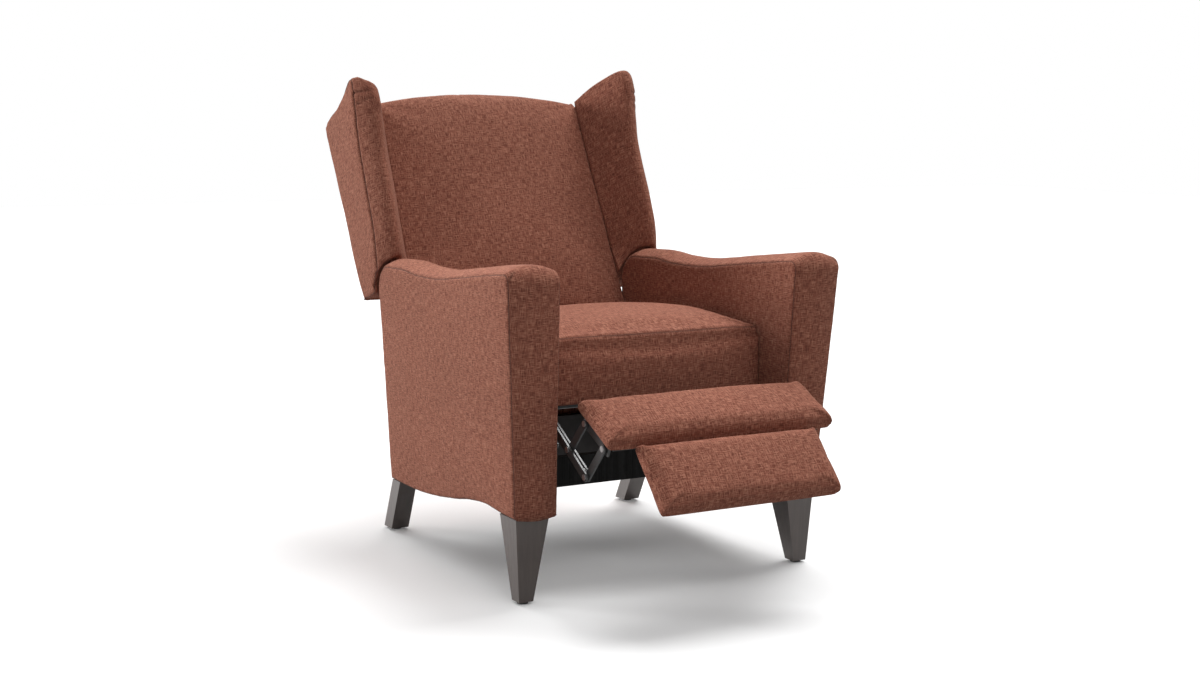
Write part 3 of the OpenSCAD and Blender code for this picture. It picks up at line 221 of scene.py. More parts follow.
def read_mesh(mesh, what):
    """The places ("co") or the normals ("normal") of a mesh's points, in metres."""
    out = np.empty(len(mesh.vertices) * 3, np.float32)
    mesh.vertices.foreach_get(what, out)
    return out.reshape(-1, 3).astype(float)


def surface_of(piece):
    return read_mesh(piece.data, "co"), read_mesh(piece.data, "normal")


def put_places(piece, co):
    piece.data.vertices.foreach_set("co", np.asarray(co, np.float32).reshape(-1))
    piece.data.update()


def in_chair(co):
    """Mesh places as millimetres in the chair's own frame."""
    out = co / MM
    out[:, 1] -= SHIFT
    return out


def soften(piece, height, size, seed, mask=None):
    """Lets the padding rise and fall a little under the cloth."""
    co, no = surface_of(piece)
    offset = Vector([seed * step for step in SEED_STEPS])
    broad, fine = size * MM, FINE_SIZE * size * MM
    amount = np.array([
        noise.noise(Vector(p) / broad + offset) + FINE_HEIGHT * noise.noise(Vector(p) / fine - offset)
        for p in co])
    if mask is not None:
        amount *= mask(in_chair(co))
    put_places(piece, co + no * (amount * height * MM)[:, None])


def bell(d, middle, width):
    return math.exp(-(((d - middle) / width) ** 2))


def draw_in(piece, seams, depth, width, pucker, seed):
    """Sinks the cover along its seams, given as paths in the chair's frame, with puckers beside them, and marks
    painted shade along them.
    """
    co, no = surface_of(piece)
    sink, painted_seam_shade = np.zeros(len(co)), np.zeros(len(co), np.float32)
    kept = piece.data.attributes.get("painted_seam_shade")
    if kept:
        kept.data.foreach_get("value", painted_seam_shade)
    else:
        kept = piece.data.attributes.new("painted_seam_shade", "FLOAT", "POINT")
    for k, seam in enumerate(seams):
        path = evenly(seam, SEAM_SPACING)
        length = along(path)
        tree = KDTree(len(path))
        for i, p in enumerate(path):
            tree.insert(in_metres(p), i)
        tree.balance()
        for i, p in enumerate(co):
            _, j, d = tree.find(p)
            d /= MM
            if d < SEAM_REACH:
                ripple = noise.noise(Vector((length[j] / RIPPLE, seed * RIPPLE_STEP + k, 0.0)))
                spot = (length[j] / LONG_RIPPLE, seed * LONG_RIPPLE_STEP + k, LONG_RIPPLE_LAYER)
                ripple += LONG_SHARE * noise.noise(Vector(spot))
                valley = -depth * bell(d, 0, width)
                lip = LIP_H * depth * bell(d, LIP_AT * width, LIP_W * width)
                change = valley + lip + pucker * ripple * bell(d, PUCKER_AT, PUCKER_W)
                if abs(change) > abs(sink[i]):
                    sink[i] = change
                # painted shade: how far the cloth's colour is darkened along the seam
                painted_seam_shade[i] = max(painted_seam_shade[i], bell(d, 0, PAINTED_SHADE_W))
    put_places(piece, co + no * (sink * MM)[:, None])
    kept.data.foreach_set("value", painted_seam_shade.astype(np.float32))


def stuffed(piece, held, pressure, inset, cap):
    """Draws the cover in, blows it up as cloth, and caps how far any point swells. Held points stay."""
    co, no = surface_of(piece)
    still = held(in_chair(co)).astype(float)
    start = co - no * (inset * MM * (1 - still))[:, None]
    put_places(piece, start)
    group = piece.vertex_groups.new(name="held")
    for i in np.flatnonzero(still):
        group.add([int(i)], 1.0, "REPLACE")
    cloth = piece.modifiers.new("stuffing", "CLOTH")
    cloth.settings.vertex_group_mass = "held"
    for key, value in STUFFING.items():
        setattr(cloth.settings, key, value)
    cloth.settings.uniform_pressure_force = pressure
    cloth.settings.effector_weights.gravity = 0.0
    cloth.collision_settings.use_collision = False
    cloth.point_cache.frame_start = 1
    cloth.point_cache.frame_end = STUFFING_FRAMES
    scene = bpy.context.scene
    for f in range(1, STUFFING_FRAMES + 1):
        scene.frame_set(f)
    done = piece.evaluated_get(bpy.context.evaluated_depsgraph_get())
    move = read_mesh(done.data, "co") - start
    piece.modifiers.remove(cloth)
    piece.vertex_groups.remove(group)
    scene.frame_set(1)
    far = np.linalg.norm(move, axis=1)
    keep = np.minimum(1.0, cap * MM / np.maximum(far, 1e-9))
    put_places(piece, start + move * keep[:, None])


def keep_between(piece, limit):
    """Keeps a cushion clear of what stands on both sides. The limit is the half width at each place."""
    co = read_mesh(piece.data, "co")
    half = limit(in_chair(co)) * MM
    co[:, 0] = np.clip(co[:, 0], -half, half)
    put_places(piece, co)


def onto(piece, path):
    """The path laid on the surface of a cover."""
    mesh = piece.data
    polygons = [tuple(p.vertices) for p in mesh.polygons]
    tree = BVHTree.FromPolygons([v.co.copy() for v in mesh.vertices], polygons)
    out = []
    for p in path:
        hit = tree.find_nearest(Vector(in_metres(p)))[0]
        out.append((hit.x / MM, hit.y / MM - SHIFT, hit.z / MM))
    return out


def dress(piece, node, body, seams=()):
    """Gives a finished cover its cloth and its body, hides the frame's part it stands for, and sews a thread
    into its seams.
    """
    piece.data.materials.clear()
    piece.data.materials.append(chenille)
    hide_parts(node)
    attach(piece, body)
    if seams:
        sew_thread(node + "_stitches", seams, piece, body)


def sew_thread(name, seams, cover, body):
    """A fine thread that lies in each seam, stitch by stitch, kept as a plain mesh."""
    curve = bpy.data.curves.new(name + "_path", "CURVE")
    curve.dimensions = "3D"
    for seam in seams:
        path = onto(cover, evenly(seam, THREAD_SPACING))
        spline = curve.splines.new("POLY")
        spline.points.add(len(path) - 1)
        for point, p in zip(spline.points, path):
            point.co = (*in_metres(p), 1)
    holder = in_scene(name + "_path", curve)
    modifier = holder.modifiers.new("stitches", "NODES")
    modifier.node_group = stitches
    for item in stitches.interface.items_tree:
        if item.item_type == "SOCKET" and item.in_out == "INPUT" and item.name in STITCH_SIZES:
            modifier[item.identifier] = STITCH_SIZES[item.name]
    bpy.context.view_layer.update()
    done = holder.evaluated_get(bpy.context.evaluated_depsgraph_get())
    mesh = bpy.data.meshes.new_from_object(done)
    piece = in_scene(name, mesh)
    bpy.data.objects.remove(holder)
    if not len(mesh.materials):
        mesh.materials.append(thread)
    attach(piece, body)


# The arms

ARM_SPAN, ARM_SPAN_LOW, ARM_SPAN_REAR, ARM_SPAN_REAR_LOW = 775.0, 712.0, 720.0, 668.0
ARM_GAP, ARM_GAP_LOW = 546.0, 529.0
ARM_FRONT, ARM_FRONT_LOW, ARM_REAR, ARM_REAR_LOW = 353.0, 323.0, 356.0, 345.0
ARM_DIP, ARM_TOP, ARM_UNDER_FRONT, ARM_UNDER_REAR = 611.0, 652.0, 173.0, 126.0
ARM_CROWN, ARM_REAR_R, ARM_FRONT_R, ARM_BELLY = 17.0, 58.0, 21.0, 4.0
ARM_TOP_SHARES = [(0.86, 0.10), (0.78, 0.14), (0.67, 0.02), (0.51, 0.06), (0.34, 0.38), (0.17, 0.74)]
ARM_UNDER_SHARES = [(0.09, 1.01), (0.21, 1.06), (0.34, 0.87), (0.46, 0.55), (0.60, 0.26), (0.77, 0.03)]
# How far the top of the rear corner stands above the dip, as a share of the front's height over it
ARM_REAR_SHARE = 0.07
ARM_REAR_C = (ARM_REAR - ARM_REAR_R, ARM_DIP + ARM_REAR_SHARE * (ARM_TOP - ARM_DIP) - ARM_REAR_R)
ARM_FRONT_C = (-ARM_FRONT + ARM_FRONT_R, ARM_TOP - ARM_FRONT_R)
# How much of the crown stands over the strip, from the inner seam to the outer one
ARM_CROWN_SHARES = [(0.0, 0.0), (0.05, 0.20), (0.13, 0.45), (0.31, 0.85), (0.5, 1.0), (0.69, 0.85),
                    (0.87, 0.45), (0.95, 0.20), (1.0, 0.0)]
# Shares of the crown up the rear and down the front of the strip
CROWN_AT_REAR, CROWN_AT_FRONT = 0.45, 0.75
ARM_SPACING, ARM_EDGE_IN, ARM_STRIP_W = 6.0, 1.5, 112.0
# The two edge seams as shares across the arm
ARM_SEAM_SHARES = (0.006, 0.994)
# The side panels run to the arm's middle, at a share of its height, and puff up beside their seams
ARM_MID_SHARE, ARM_PANEL_D, ARM_PUFF, ARM_PUFF_INSIDE, ARM_PUFF_W = 0.62, 240.0, 2.4, 1.1, 13.0
ARM_BELLY_RATE, ARM_BELLY_POWER = 2.2, 0.7
# The mitre starts at this place below and behind the top front corner, and steps across the arm by a share
MITRE_AT, MITRE_OUT, MITRE_STEP_SHARE, MITRE_POINTS = (2, 12), 4, 0.016, 9


def arm_inner_x(z):
    return lerp(ARM_GAP_LOW, ARM_GAP, (z - ARM_UNDER_FRONT) / (ARM_TOP - ARM_UNDER_FRONT)) / 2


def arm_outer_x(y, z):
    v = (z - ARM_UNDER_REAR) / (ARM_TOP - ARM_UNDER_REAR)
    u = (y + ARM_FRONT) / (ARM_FRONT + ARM_REAR)
    return lerp(lerp(ARM_SPAN_LOW, ARM_SPAN, v), lerp(ARM_SPAN_REAR_LOW, ARM_SPAN_REAR, v), u) / 2


def arm_outline():
    """The arm's edge seam seen from the side, the share of the crown at each point, and the length walked."""
    under = smooth_curve(
        [(-ARM_FRONT_LOW, ARM_UNDER_FRONT)]
        + spread(ARM_UNDER_SHARES, -ARM_FRONT_LOW, ARM_REAR_LOW, ARM_UNDER_REAR, ARM_UNDER_FRONT)
        + [(ARM_REAR_LOW, ARM_UNDER_REAR)], 12)
    rear = straight((ARM_REAR_LOW, ARM_UNDER_REAR), (ARM_REAR, ARM_REAR_C[1]), 60)
    corner = arc(ARM_REAR_C, ARM_REAR_R, 0, 90, 16)
    top = smooth_curve(
        [(ARM_REAR_C[0], ARM_REAR_C[1] + ARM_REAR_R)]
        + spread(ARM_TOP_SHARES, -ARM_FRONT, ARM_REAR, ARM_DIP, ARM_TOP)
        + [(ARM_FRONT_C[0], ARM_TOP)], 14)
    nose = arc(ARM_FRONT_C, ARM_FRONT_R, 90, 180, 12)
    front = straight((-ARM_FRONT, ARM_FRONT_C[1]), (-ARM_FRONT_LOW, ARM_UNDER_FRONT), 70)
    parts = [(under, 0.0, 0.0), (rear[1:], CROWN_AT_REAR, CROWN_AT_REAR), (corner[1:], CROWN_AT_REAR, 1.0),
             (top[1:], 1.0, 1.0), (nose[1:], 1.0, CROWN_AT_FRONT),
             (front[1:], CROWN_AT_FRONT, CROWN_AT_FRONT)]
    line = np.concatenate([p for p, _, _ in parts])
    crown = np.concatenate([np.linspace(a, b, len(p)) for p, a, b in parts])
    s = along(line)
    q = np.linspace(0, s[-1], int(s[-1] / ARM_SPACING) + 1)
    even = np.stack([np.interp(q, s, line[:, 0]), np.interp(q, s, line[:, 1])], 1)
    crown = np.interp(q, s, crown)
    # the crown fades in and out where the strip turns under the arm
    weights = np.hanning(9) / np.hanning(9).sum()
    crown = np.convolve(np.concatenate([crown[-5:-1], crown, crown[1:5]]), weights, "valid")
    return even, crown, q


def arm_cover(side):
    sign = -1 if side == "left" else 1
    line, crown, walked = arm_outline()
    d = np.roll(line[:-1], -1, 0) - np.roll(line[:-1], 1, 0)
    d = np.concatenate([d, d[:1]])
    d /= np.linalg.norm(d, axis=1)[:, None]
    out = np.stack([d[:, 1], -d[:, 0]], 1)
    edge = line - out * ARM_EDGE_IN
    mid = np.array([lerp(-ARM_FRONT, ARM_REAR, 0.5), ARM_TOP * ARM_MID_SHARE])
    inner_f, outer_f = ARM_SEAM_SHARES

    def at(p, f, belly=0.0):
        return np.array([lerp(arm_inner_x(p[1]), arm_outer_x(p[0], p[1]), f) + belly, p[0], p[1]])

    # the strip runs up the front, over the top and down the rear, between the two edge seams
    shares = smooth_curve(ARM_CROWN_SHARES, 8)
    strip, strip_cloth = [], []
    for t in strip_columns(ARM_STRIP_W):
        rise = float(np.interp(t, shares[:, 0], shares[:, 1]))
        lift = ARM_CROWN * rise * crown - ARM_EDGE_IN
        strip.append([at(p, lerp(inner_f, outer_f, t)) for p in line + out * lift[:, None]])
        strip_cloth.append([(s, t * ARM_STRIP_W) for s in walked])
    panels = [(strip, strip_cloth)]
    # the two side panels are drawn in to their seams
    for outer, f in ((False, inner_f), (True, outer_f)):
        face, cloth = [], []
        for k in inward_rows(ARM_PANEL_D, 18):
            t = k / ARM_PANEL_D
            puff = 1 - math.exp(-k / ARM_PUFF_W)
            belly = ARM_BELLY * min(1.0, t * ARM_BELLY_RATE) ** ARM_BELLY_POWER
            swell = ARM_PUFF * puff + belly if outer else -ARM_PUFF_INSIDE * puff
            face.append([at(lerp(p, mid, t), f, swell) for p in edge])
            cloth.append([(q[1] + 4 * CUT_APART, q[2]) for q in face[-1]])
        panels.append((face, cloth))
    piece = sewn(f"{side}_arm_fabric", panels, sign < 0)
    turned = np.array([sign, 1, 1])
    seams = [[at(p, f) * turned for p in edge] for f in ARM_SEAM_SHARES]
    # a short mitre at the top front corner, where the front panel meets the top
    away = np.abs(line[:, 0] + ARM_FRONT - MITRE_AT[0]) + np.abs(line[:, 1] - ARM_TOP + MITRE_AT[1])
    path = []
    for k in range(MITRE_POINTS):
        i = int(np.argmin(away)) - k // 3
        path.append(at(line[i] + out[i] * MITRE_OUT, outer_f - MITRE_STEP_SHARE * k) * turned)
    mitre = onto(piece, path)
    soften(piece, height=1.1, size=120.0, seed=3 if sign < 0 else 8)
    draw_in(piece, seams, depth=2.0, width=2.6, pucker=0.55, seed=3 - sign)
    draw_in(piece, [mitre], depth=1.2, width=2.0, pucker=0.2, seed=5)
    dress(piece, f"{side}_arm_cover", "base", seams)


# The seat cushion

SEAT_FRONT, SEAT_REAR, SEAT_W = 240.0, 316.0, 533.0
SEAT_SEAM_H, SEAT_CROWN, SEAT_LOW, SEAT_SIDE_DROP = 511.0, 24.0, 373.0, 17.0
SEAT_FRAME_FRONT, SEAT_UNDER, SEAT_UNDER_IN, SEAT_LIP_ROWS = 232.0, 418.8, 12.0, 9
# The corners are rounded from the first share of the half width, over the second
SEAT_ROUND, SEAT_ROUND_SHARES = 5.0, (0.955, 0.045)
# The padding rises and falls above the first height, and fully after the second
SEAT_SOFT_FROM, SEAT_SOFT_OVER, SEAT_ARM_GAP = 430.0, 60.0, 2.2
# While a cover is stuffed it is held this near the front, the top and the sides of its frame and at its hem
HELD_NEAR, HELD_OVER, HELD_SIDE, HELD_HEM = 3.0, 4.0, 1.5, 2.0
# The sides are held up to this far below the seam
HELD_BELOW_SEAM = 25.0
# The front seam: its place along the seat, and how far it runs out to the sides
SEAT_SEAM_SHARES = (0.004, 0.985)
SEAT_FACE_SHARES = [(0, 0), (-0.006, 0.25), (-0.008, 0.55), (-0.004, 0.85), (0, 0.95)]
SEAT_TOP_SHARES = [(0.008, 0, 0.05), (0.03, 0.24, 0.25), (0.09, 0.55, 0.6), (0.19, 0.86, 0.9), (0.32, 1, 1),
                   (0.47, 0.94, 1), (0.62, 0.66, 1), (0.76, 0.18, 0.9), (0.87, -0.42, 0.7),
                   (0.94, -0.86, 0.5), (0.985, -1.35, 0.2), (1, -2.2, 0), (0.99, -3.0, 0)]


def wrapped_cover(name, outer_at, inner_at, columns):
    """Cover of a cushion that wraps over its frame: outer skin, inner skin, two boxed sides and two hems."""
    outer = np.array([outer_at(f) for f in columns])
    inner = np.array([inner_at(f) for f in columns])
    walked = along(outer[len(columns) // 2])
    panels = [
        (outer, [[(p[0], walked[c]) for c, p in enumerate(row)] for row in outer]),
        (inner, [[(p[0] + 3 * CUT_APART, p[1] + p[2]) for p in row] for row in inner])]
    for r in (0, -1):
        boxed = np.array([lerp(outer[r], inner[r], t) for t in np.linspace(0, 1, 9)])
        panels.append((boxed, [[(p[1] + 6 * CUT_APART, p[2]) for p in row] for row in boxed]))
    for c in (0, -1):
        hem = np.array([lerp(outer[:, c], inner[:, c], t) for t in (0, 0.5, 1)])
        panels.append((hem, [[(p[0] + 9 * CUT_APART, p[1] + p[2]) for p in row] for row in hem]))
    return sewn(name, panels)


def seat_cushion():
    depth = SEAT_FRONT + SEAT_REAR
    face = smooth_curve(SEAT_FACE_SHARES, 5)
    top = smooth_curve(SEAT_TOP_SHARES, 6)
    n = len(face) + len(top)

    def outer(f):
        side = abs(f) ** 3
        start, span = SEAT_ROUND_SHARES
        round_in = SEAT_ROUND * max(0.0, (abs(f) - start) / span) ** 2
        x = f * SEAT_W / 2
        front, over = [], []
        for s in face:
            y = -SEAT_FRONT + s[0] * depth * (1 - side) + round_in
            front.append((x, y, lerp(SEAT_LOW, SEAT_SEAM_H, s[1])))
        for s in top:
            z = SEAT_SEAM_H + s[1] * SEAT_CROWN - side * s[2] * SEAT_SIDE_DROP - round_in
            over.append((x, -SEAT_FRONT + s[0] * depth + round_in * (1 - s[0]), z))
        return front + over

    def inner(f):
        k, x = SEAT_LIP_ROWS, f * SEAT_W / 2
        lip = [(x, -SEAT_FRAME_FRONT, lerp(SEAT_LOW, SEAT_UNDER, i / (k - 1))) for i in range(k)]
        rear = SEAT_REAR - SEAT_UNDER_IN
        under = [(x, lerp(-SEAT_FRAME_FRONT, rear, (i - k + 1) / (n - k)), SEAT_UNDER) for i in range(k, n)]
        return lip + under

    piece = wrapped_cover("seat_cushion_fabric", outer, inner, cover_columns(75, (0.968, 0.982, 0.992, 1)))

    def held(p):
        under = (p[:, 2] < SEAT_UNDER + HELD_OVER) & (p[:, 1] > -SEAT_FRAME_FRONT - HELD_NEAR)
        sides = (np.abs(p[:, 0]) > SEAT_W / 2 - HELD_SIDE) & (p[:, 2] < SEAT_SEAM_H - HELD_BELOW_SEAM)
        return under | sides | (p[:, 2] < SEAT_LOW + HELD_HEM)

    stuffed(piece, held, pressure=2.2, inset=2.0, cap=5.5)
    back, out = SEAT_SEAM_SHARES
    y = -SEAT_FRONT + back * depth
    seam = onto(piece, [(f * SEAT_W / 2, y, SEAT_SEAM_H) for f in np.linspace(-out, out, 90)])
    soften(piece, height=1.5, size=130.0, seed=21,
           mask=lambda p: np.clip((p[:, 2] - SEAT_SOFT_FROM) / SEAT_SOFT_OVER, 0, 1))
    draw_in(piece, [seam], depth=1.8, width=2.6, pucker=0.6, seed=11)
    keep_between(piece, lambda p: arm_inner_x(p[:, 2]) - SEAT_ARM_GAP)
    dress(piece, "seat_cushion", "seat_carriage", [seam])


# The back cushion and the panel behind it

BACK_LEAN, BACK_H, BACK_ARCH = 26.2, 521.0, 28.0
BACK_W_LOW, BACK_W, BACK_CROWN, BACK_D = 536.0, 518.0, 36.0, 110.0
# The back narrows from this share of its height up to its top
NARROW_SHARE = 0.35
BACK_FOOT = (338.0, 500.0)
BACK_ROLL, BACK_RISE, BACK_EDGE, BACK_BOTTOM = 12.0, 19.0, 2.0, 22.0
CUSHION_IN, LIP_UNDER, BACK_HELD_SIDE = 37.7, 505.3, 1.0
# Below the wings the cushion swells out between the arms
SQUEEZED, WING_LOW = 0.72, 140.0
# The cover lies this far inside the panel behind it, and its lip still further
COVER_IN, LIP_IN = 2, 4
# How sharply the crown falls to the sides, its share at the start of the top roll, the face's share of the rows
BACK_SIDE_POWER, ROLL_CROWN_SHARE, FACE_ROWS_SHARE = 2.6, 0.2, 0.75
BACK_FRONT_SHARES = [(-0.02, 0.80), (0.06, 0.92), (0.16, 1), (0.30, 1), (0.46, 0.92), (0.62, 0.82),
                     (0.78, 0.70), (0.90, 0.52), (0.965, 0.28)]
BACK_ROLL_SHARES = [(0.0, 0.0), (0.04, 0.42), (0.15, 0.84), (0.40, 1), (0.70, 0.93), (0.92, 0.55), (0.97, 0)]
LEAN_COS, LEAN_SIN = math.cos(math.radians(BACK_LEAN)), math.sin(math.radians(BACK_LEAN))


def from_back(x, s, h):
    """A place on the back, s rearwards and h up it, in the chair's frame."""
    return (x, BACK_FOOT[0] + s * LEAN_COS + h * LEAN_SIN, BACK_FOOT[1] - s * LEAN_SIN + h * LEAN_COS)


def to_back(y, z):
    y, z = y - BACK_FOOT[0], z - BACK_FOOT[1]
    return y * LEAN_COS - z * LEAN_SIN, y * LEAN_SIN + z * LEAN_COS


def back_half(h):
    up = np.clip((h - NARROW_SHARE * BACK_H) / ((1 - NARROW_SHARE) * BACK_H), 0, 1)
    return lerp(BACK_W_LOW, BACK_W, up) / 2


def back_cushion():
    front = smooth_curve(BACK_FRONT_SHARES, 6)
    roll = smooth_curve(BACK_ROLL_SHARES, 5)
    n = len(front) + len(roll)

    def outer(f):
        side = abs(f) ** BACK_SIDE_POWER
        arch = BACK_ARCH * (1 - f * f)
        points = []
        for s in front:
            h = s[0] * BACK_H
            flat = side * lerp(SQUEEZED, 1, min(1, max(0, h / WING_LOW)))
            ahead = BACK_EDGE - (BACK_CROWN + BACK_EDGE) * s[1] * (1 - flat)
            points.append(from_back(f * back_half(h), ahead, h + arch * max(0, s[0] - 0.5) * 2))
        for s in roll:
            rear = lerp(-BACK_CROWN * ROLL_CROWN_SHARE * (1 - side), BACK_D - COVER_IN, s[0])
            up = lerp(BACK_H - BACK_ROLL, BACK_H + BACK_RISE, s[1]) + arch
            points.append(from_back(f * back_half(BACK_H), rear, up))
        return points

    def inner(f):
        k = int(n * FACE_ROWS_SHARE)
        face = [from_back(f * back_half(h), CUSHION_IN, h) for h in np.linspace(BACK_BOTTOM, LIP_UNDER, k)]
        x, steps = f * back_half(BACK_H), np.linspace(0, 1, n - k + 1)[1:]
        return face + [from_back(x, lerp(CUSHION_IN, BACK_D - LIP_IN, t), LIP_UNDER) for t in steps]

    piece = wrapped_cover("back_cushion_fabric", outer, inner, cover_columns(73, (0.975, 0.99, 1)))

    def held(p):
        s, h = to_back(p[:, 1], p[:, 2])
        rear = (s > CUSHION_IN - HELD_NEAR) & (h < LIP_UNDER + HELD_NEAR)
        return rear | (np.abs(p[:, 0]) > back_half(h) - BACK_HELD_SIDE)

    stuffed(piece, held, pressure=2.4, inset=3.0, cap=7.0)
    soften(piece, height=1.7, size=150.0, seed=31,
           mask=lambda p: to_back(p[:, 1], p[:, 2])[0] < CUSHION_IN - HELD_NEAR)
    keep_between(piece, lambda p: back_half(to_back(p[:, 1], p[:, 2])[1]))
    dress(piece, "back_cushion", "back")


OUTSIDE_LOW, OUTSIDE_D_LOW, OUTSIDE_BELLY, OUTSIDE_IN, OUTSIDE_TOP_GAP = -140.0, 92.0, 5.0, 72.3, 0.6
OUTSIDE_HALF, OUTSIDE_HALF_TOP = 264.0, 257.0
OUTSIDE_SHARES = [(0, 0), (0.03, 0.5), (0.15, 0.85), (0.4, 1), (0.7, 1), (0.9, 0.85), (0.975, 0.5), (1, 0)]
# Between these shares of its height the panel narrows to fit between the wings
OUTSIDE_NARROWS = 0.4, 0.7
OUTSIDE_SEAM_SHARE, OUTSIDE_SEAM_UP = 0.985, 5.0
PANEL_COLUMNS = cover_columns(47, (0.975, 0.988, 0.996, 1))


def outside_back():
    top = LIP_UNDER - OUTSIDE_TOP_GAP
    shares = smooth_curve(OUTSIDE_SHARES, 8)

    def at(f, s, back):
        half = np.interp(s, OUTSIDE_NARROWS, (OUTSIDE_HALF, OUTSIDE_HALF_TOP))
        return from_back(f * half, back, lerp(OUTSIDE_LOW, top, s))

    def outer(f):
        points = []
        for s in shares:
            flat = OUTSIDE_BELLY * (2 - s[1] - (1 - abs(f) ** 4))
            points.append(at(f, s[0], lerp(OUTSIDE_D_LOW, BACK_D, s[0]) - flat))
        return points

    def inner(f):
        return [at(f, s[0], OUTSIDE_IN) for s in shares]

    piece = wrapped_cover("outside_back_fabric", outer, inner, PANEL_COLUMNS)
    edge, half = OUTSIDE_D_LOW - 2 * OUTSIDE_BELLY, OUTSIDE_HALF * OUTSIDE_SEAM_SHARE
    low = OUTSIDE_LOW + OUTSIDE_SEAM_UP
    seam = onto(piece, [from_back(f * half, edge, low) for f in np.linspace(-1, 1, 60)])
    soften(piece, height=0.8, size=160.0, seed=41)
    draw_in(piece, [seam], depth=1.4, width=2.4, pucker=0.5, seed=17)
    dress(piece, "outside_back", "back", [seam])


# The wings

WING_SPAN, WING_SPAN_REAR, WING_REACH, WING_ROLL, WING_CLEAR = 730.0, 716.0, 68.0, 46.0, 8.0
WING_SEAM_SHARES = [(0.27, 0.79), (0.355, 0.92), (0.49, 0.98), (0.67, 1.03), (0.80, 1.19), (0.89, 1.38),
                    (0.965, 1.51)]
WING_TOP_SHARES = [(-0.92, 1.017), (-0.6, 1.008), (-0.3, 0.998), (0.2, 0.996), (0.65, 1.002), (0.92, 0.994)]
# Across the wing from the cushion out: place, shares of the face and the roll, angle where it meets the arm
WING_RING_SHARES = [(0, 0, 0, 20), (0.12, 0.2, 0, 29), (0.28, 0.49, 0, 47), (0.44, 0.78, 0, 66),
                    (0.56, 0.955, 0, 79), (0.66, 1, 1, 84), (0.78, 1, 0.86, 78), (0.89, 1, 0.56, 66),
                    (0.965, 1, 0.24, 54), (1, 1, 0, 46)]
# The wing's span is told at its front, and at its rear this much further back
WING_FRONT, WING_D = -100, 210
# Above the first share of the back's height, the roll is the second share of its full depth
WING_THIN_SHARES = (0.85, 0.82)
# Up to this share across it, the wing's front is its face, and beyond it is the roll
WING_FACE_SHARE = 0.6
# The top meets the front seam at this share, and behind the next one its roll falls to a share of its height
WING_TOP_SHARE, WING_TOP_FALL_SHARES = 0.98, (0.9, 0.4)
# The rear edge: height of its top, then place and height of its middle
WING_REAR_SHARES = (0.95, 0.45, 0.60)
# Last rows before the seam, as shares of the last step across
WING_LAST_SHARES = (0.35, 0.62, 0.84)
WING_TIP, WING_TAIL, WING_MID = (424.0, 531.0), (446.0, 545.0), (40.0, 0.56 * BACK_H)
WING_TOP_ROLL, WING_GAP, WING_TAIL_ROOM, WING_REAR_OVER = 9.0, 0.8, 3.0, 2.0
WING_FOOT_POINTS, WING_FOOT_END = 5, -6
WING_PANEL_D, WING_PUFF, WING_PUFF_W, WING_BELLY, WING_INSIDE_GAP = 200.0, 3.2, 14.0, 1.5, 0.3
# The wings are stuffed by hand: how much higher and further ahead each top front corner is, across the wing
CORNER_RISE = {"left": [(0, 0), (0.12, -6), (0.28, -20), (0.44, -31), (0.56, -34), (0.66, -27), (0.78, -15),
                        (0.89, 0), (1, 6)],
               "right": [(0, 4), (0.12, 9), (0.56, 9), (0.66, 10), (0.78, 13), (0.89, 14), (1, 12)]}
CORNER_AHEAD = {"left": [(0, 0), (1, 0)], "right": [(0, 0), (0.44, 2), (0.66, 8), (0.89, 12), (1, 10)]}
# The corner starts at this height and place on the back, and takes the full change after these spans
CORNER_LOW, CORNER_UP_SPAN, CORNER_BACK, CORNER_AHEAD_SPAN = 390, 110, 20, 90
ARM_RING_SHARES = np.array([(0, -0.32), (0.035, 0), (0.13, 0.45), (0.31, 0.85), (0.5, 1), (0.69, 0.85),
                            (0.87, 0.45), (0.965, 0), (1, -0.32)])
# Two gathers where the front roll turns over into the top: lean, and drop below the seam's end
GATHERS = ((0.0, 4.0), (9.0, 30.0))
GATHER_ROLL_SHARE, GATHER_W, GATHER_FALL = 0.66, 27.0, 10.0


def wing_half(s):
    return lerp(WING_SPAN, WING_SPAN_REAR, (s - WING_FRONT) / WING_D) / 2


def eased(t):
    t = float(np.clip(t, 0, 1))
    return 3 * t**2 - 2 * t**3


def corner_reach(s, h):
    """How much of the change at the top front corner a place on the wing takes."""
    return eased((h - CORNER_LOW) / CORNER_UP_SPAN) * eased((CORNER_BACK - s) / CORNER_AHEAD_SPAN)


def wing_ring(share):
    """The wing's outline at one place across it, as (rearwards, up) on the back."""
    f, g, b, a0 = share
    crown = ARM_CROWN * max(0.0, float(np.interp(f, ARM_RING_SHARES[:, 0], ARM_RING_SHARES[:, 1])))
    foot = []
    for t in range(WING_FOOT_POINTS):
        a = lerp(a0, WING_FOOT_END, t / (WING_FOOT_POINTS - 1))
        reach = ARM_REAR_R + WING_CLEAR + crown + WING_TAIL_ROOM * (1 - max(0, a) / 90)
        y = ARM_REAR_C[0] + reach * math.cos(math.radians(a))
        foot.append(to_back(y, ARM_REAR_C[1] + reach * math.sin(math.radians(a))))
    seam = []
    thin_from, thin = WING_THIN_SHARES
    for up, ahead in WING_SEAM_SHARES:
        n = -ahead * WING_REACH
        roll = WING_ROLL * (thin if up > thin_from else 1)
        face = (n - roll) * g - BACK_EDGE * (1 - g)
        seam.append((n - roll * b if f > WING_FACE_SHARE else face, up * BACK_H))
    lift = WING_TOP_ROLL * math.sin(math.pi * f)
    rear_top = BACK_D + WING_REAR_OVER
    top = []
    fall_from, fallen = WING_TOP_FALL_SHARES
    for s, h in WING_TOP_SHARES:
        y = s * -seam[-1][0] / WING_TOP_SHARE if s < 0 else s * rear_top
        top.append((y, h * BACK_H + lift * (1 if s < fall_from else fallen)))
    tail = to_back(*WING_TAIL)
    high, mid_place, mid_height = WING_REAR_SHARES
    rear = [(rear_top, high * BACK_H), (lerp(rear_top, tail[0], mid_place), mid_height * BACK_H), tail]
    return np.array(seam[::-1] + foot + [to_back(*WING_TIP)] + rear[::-1] + top[::-1])


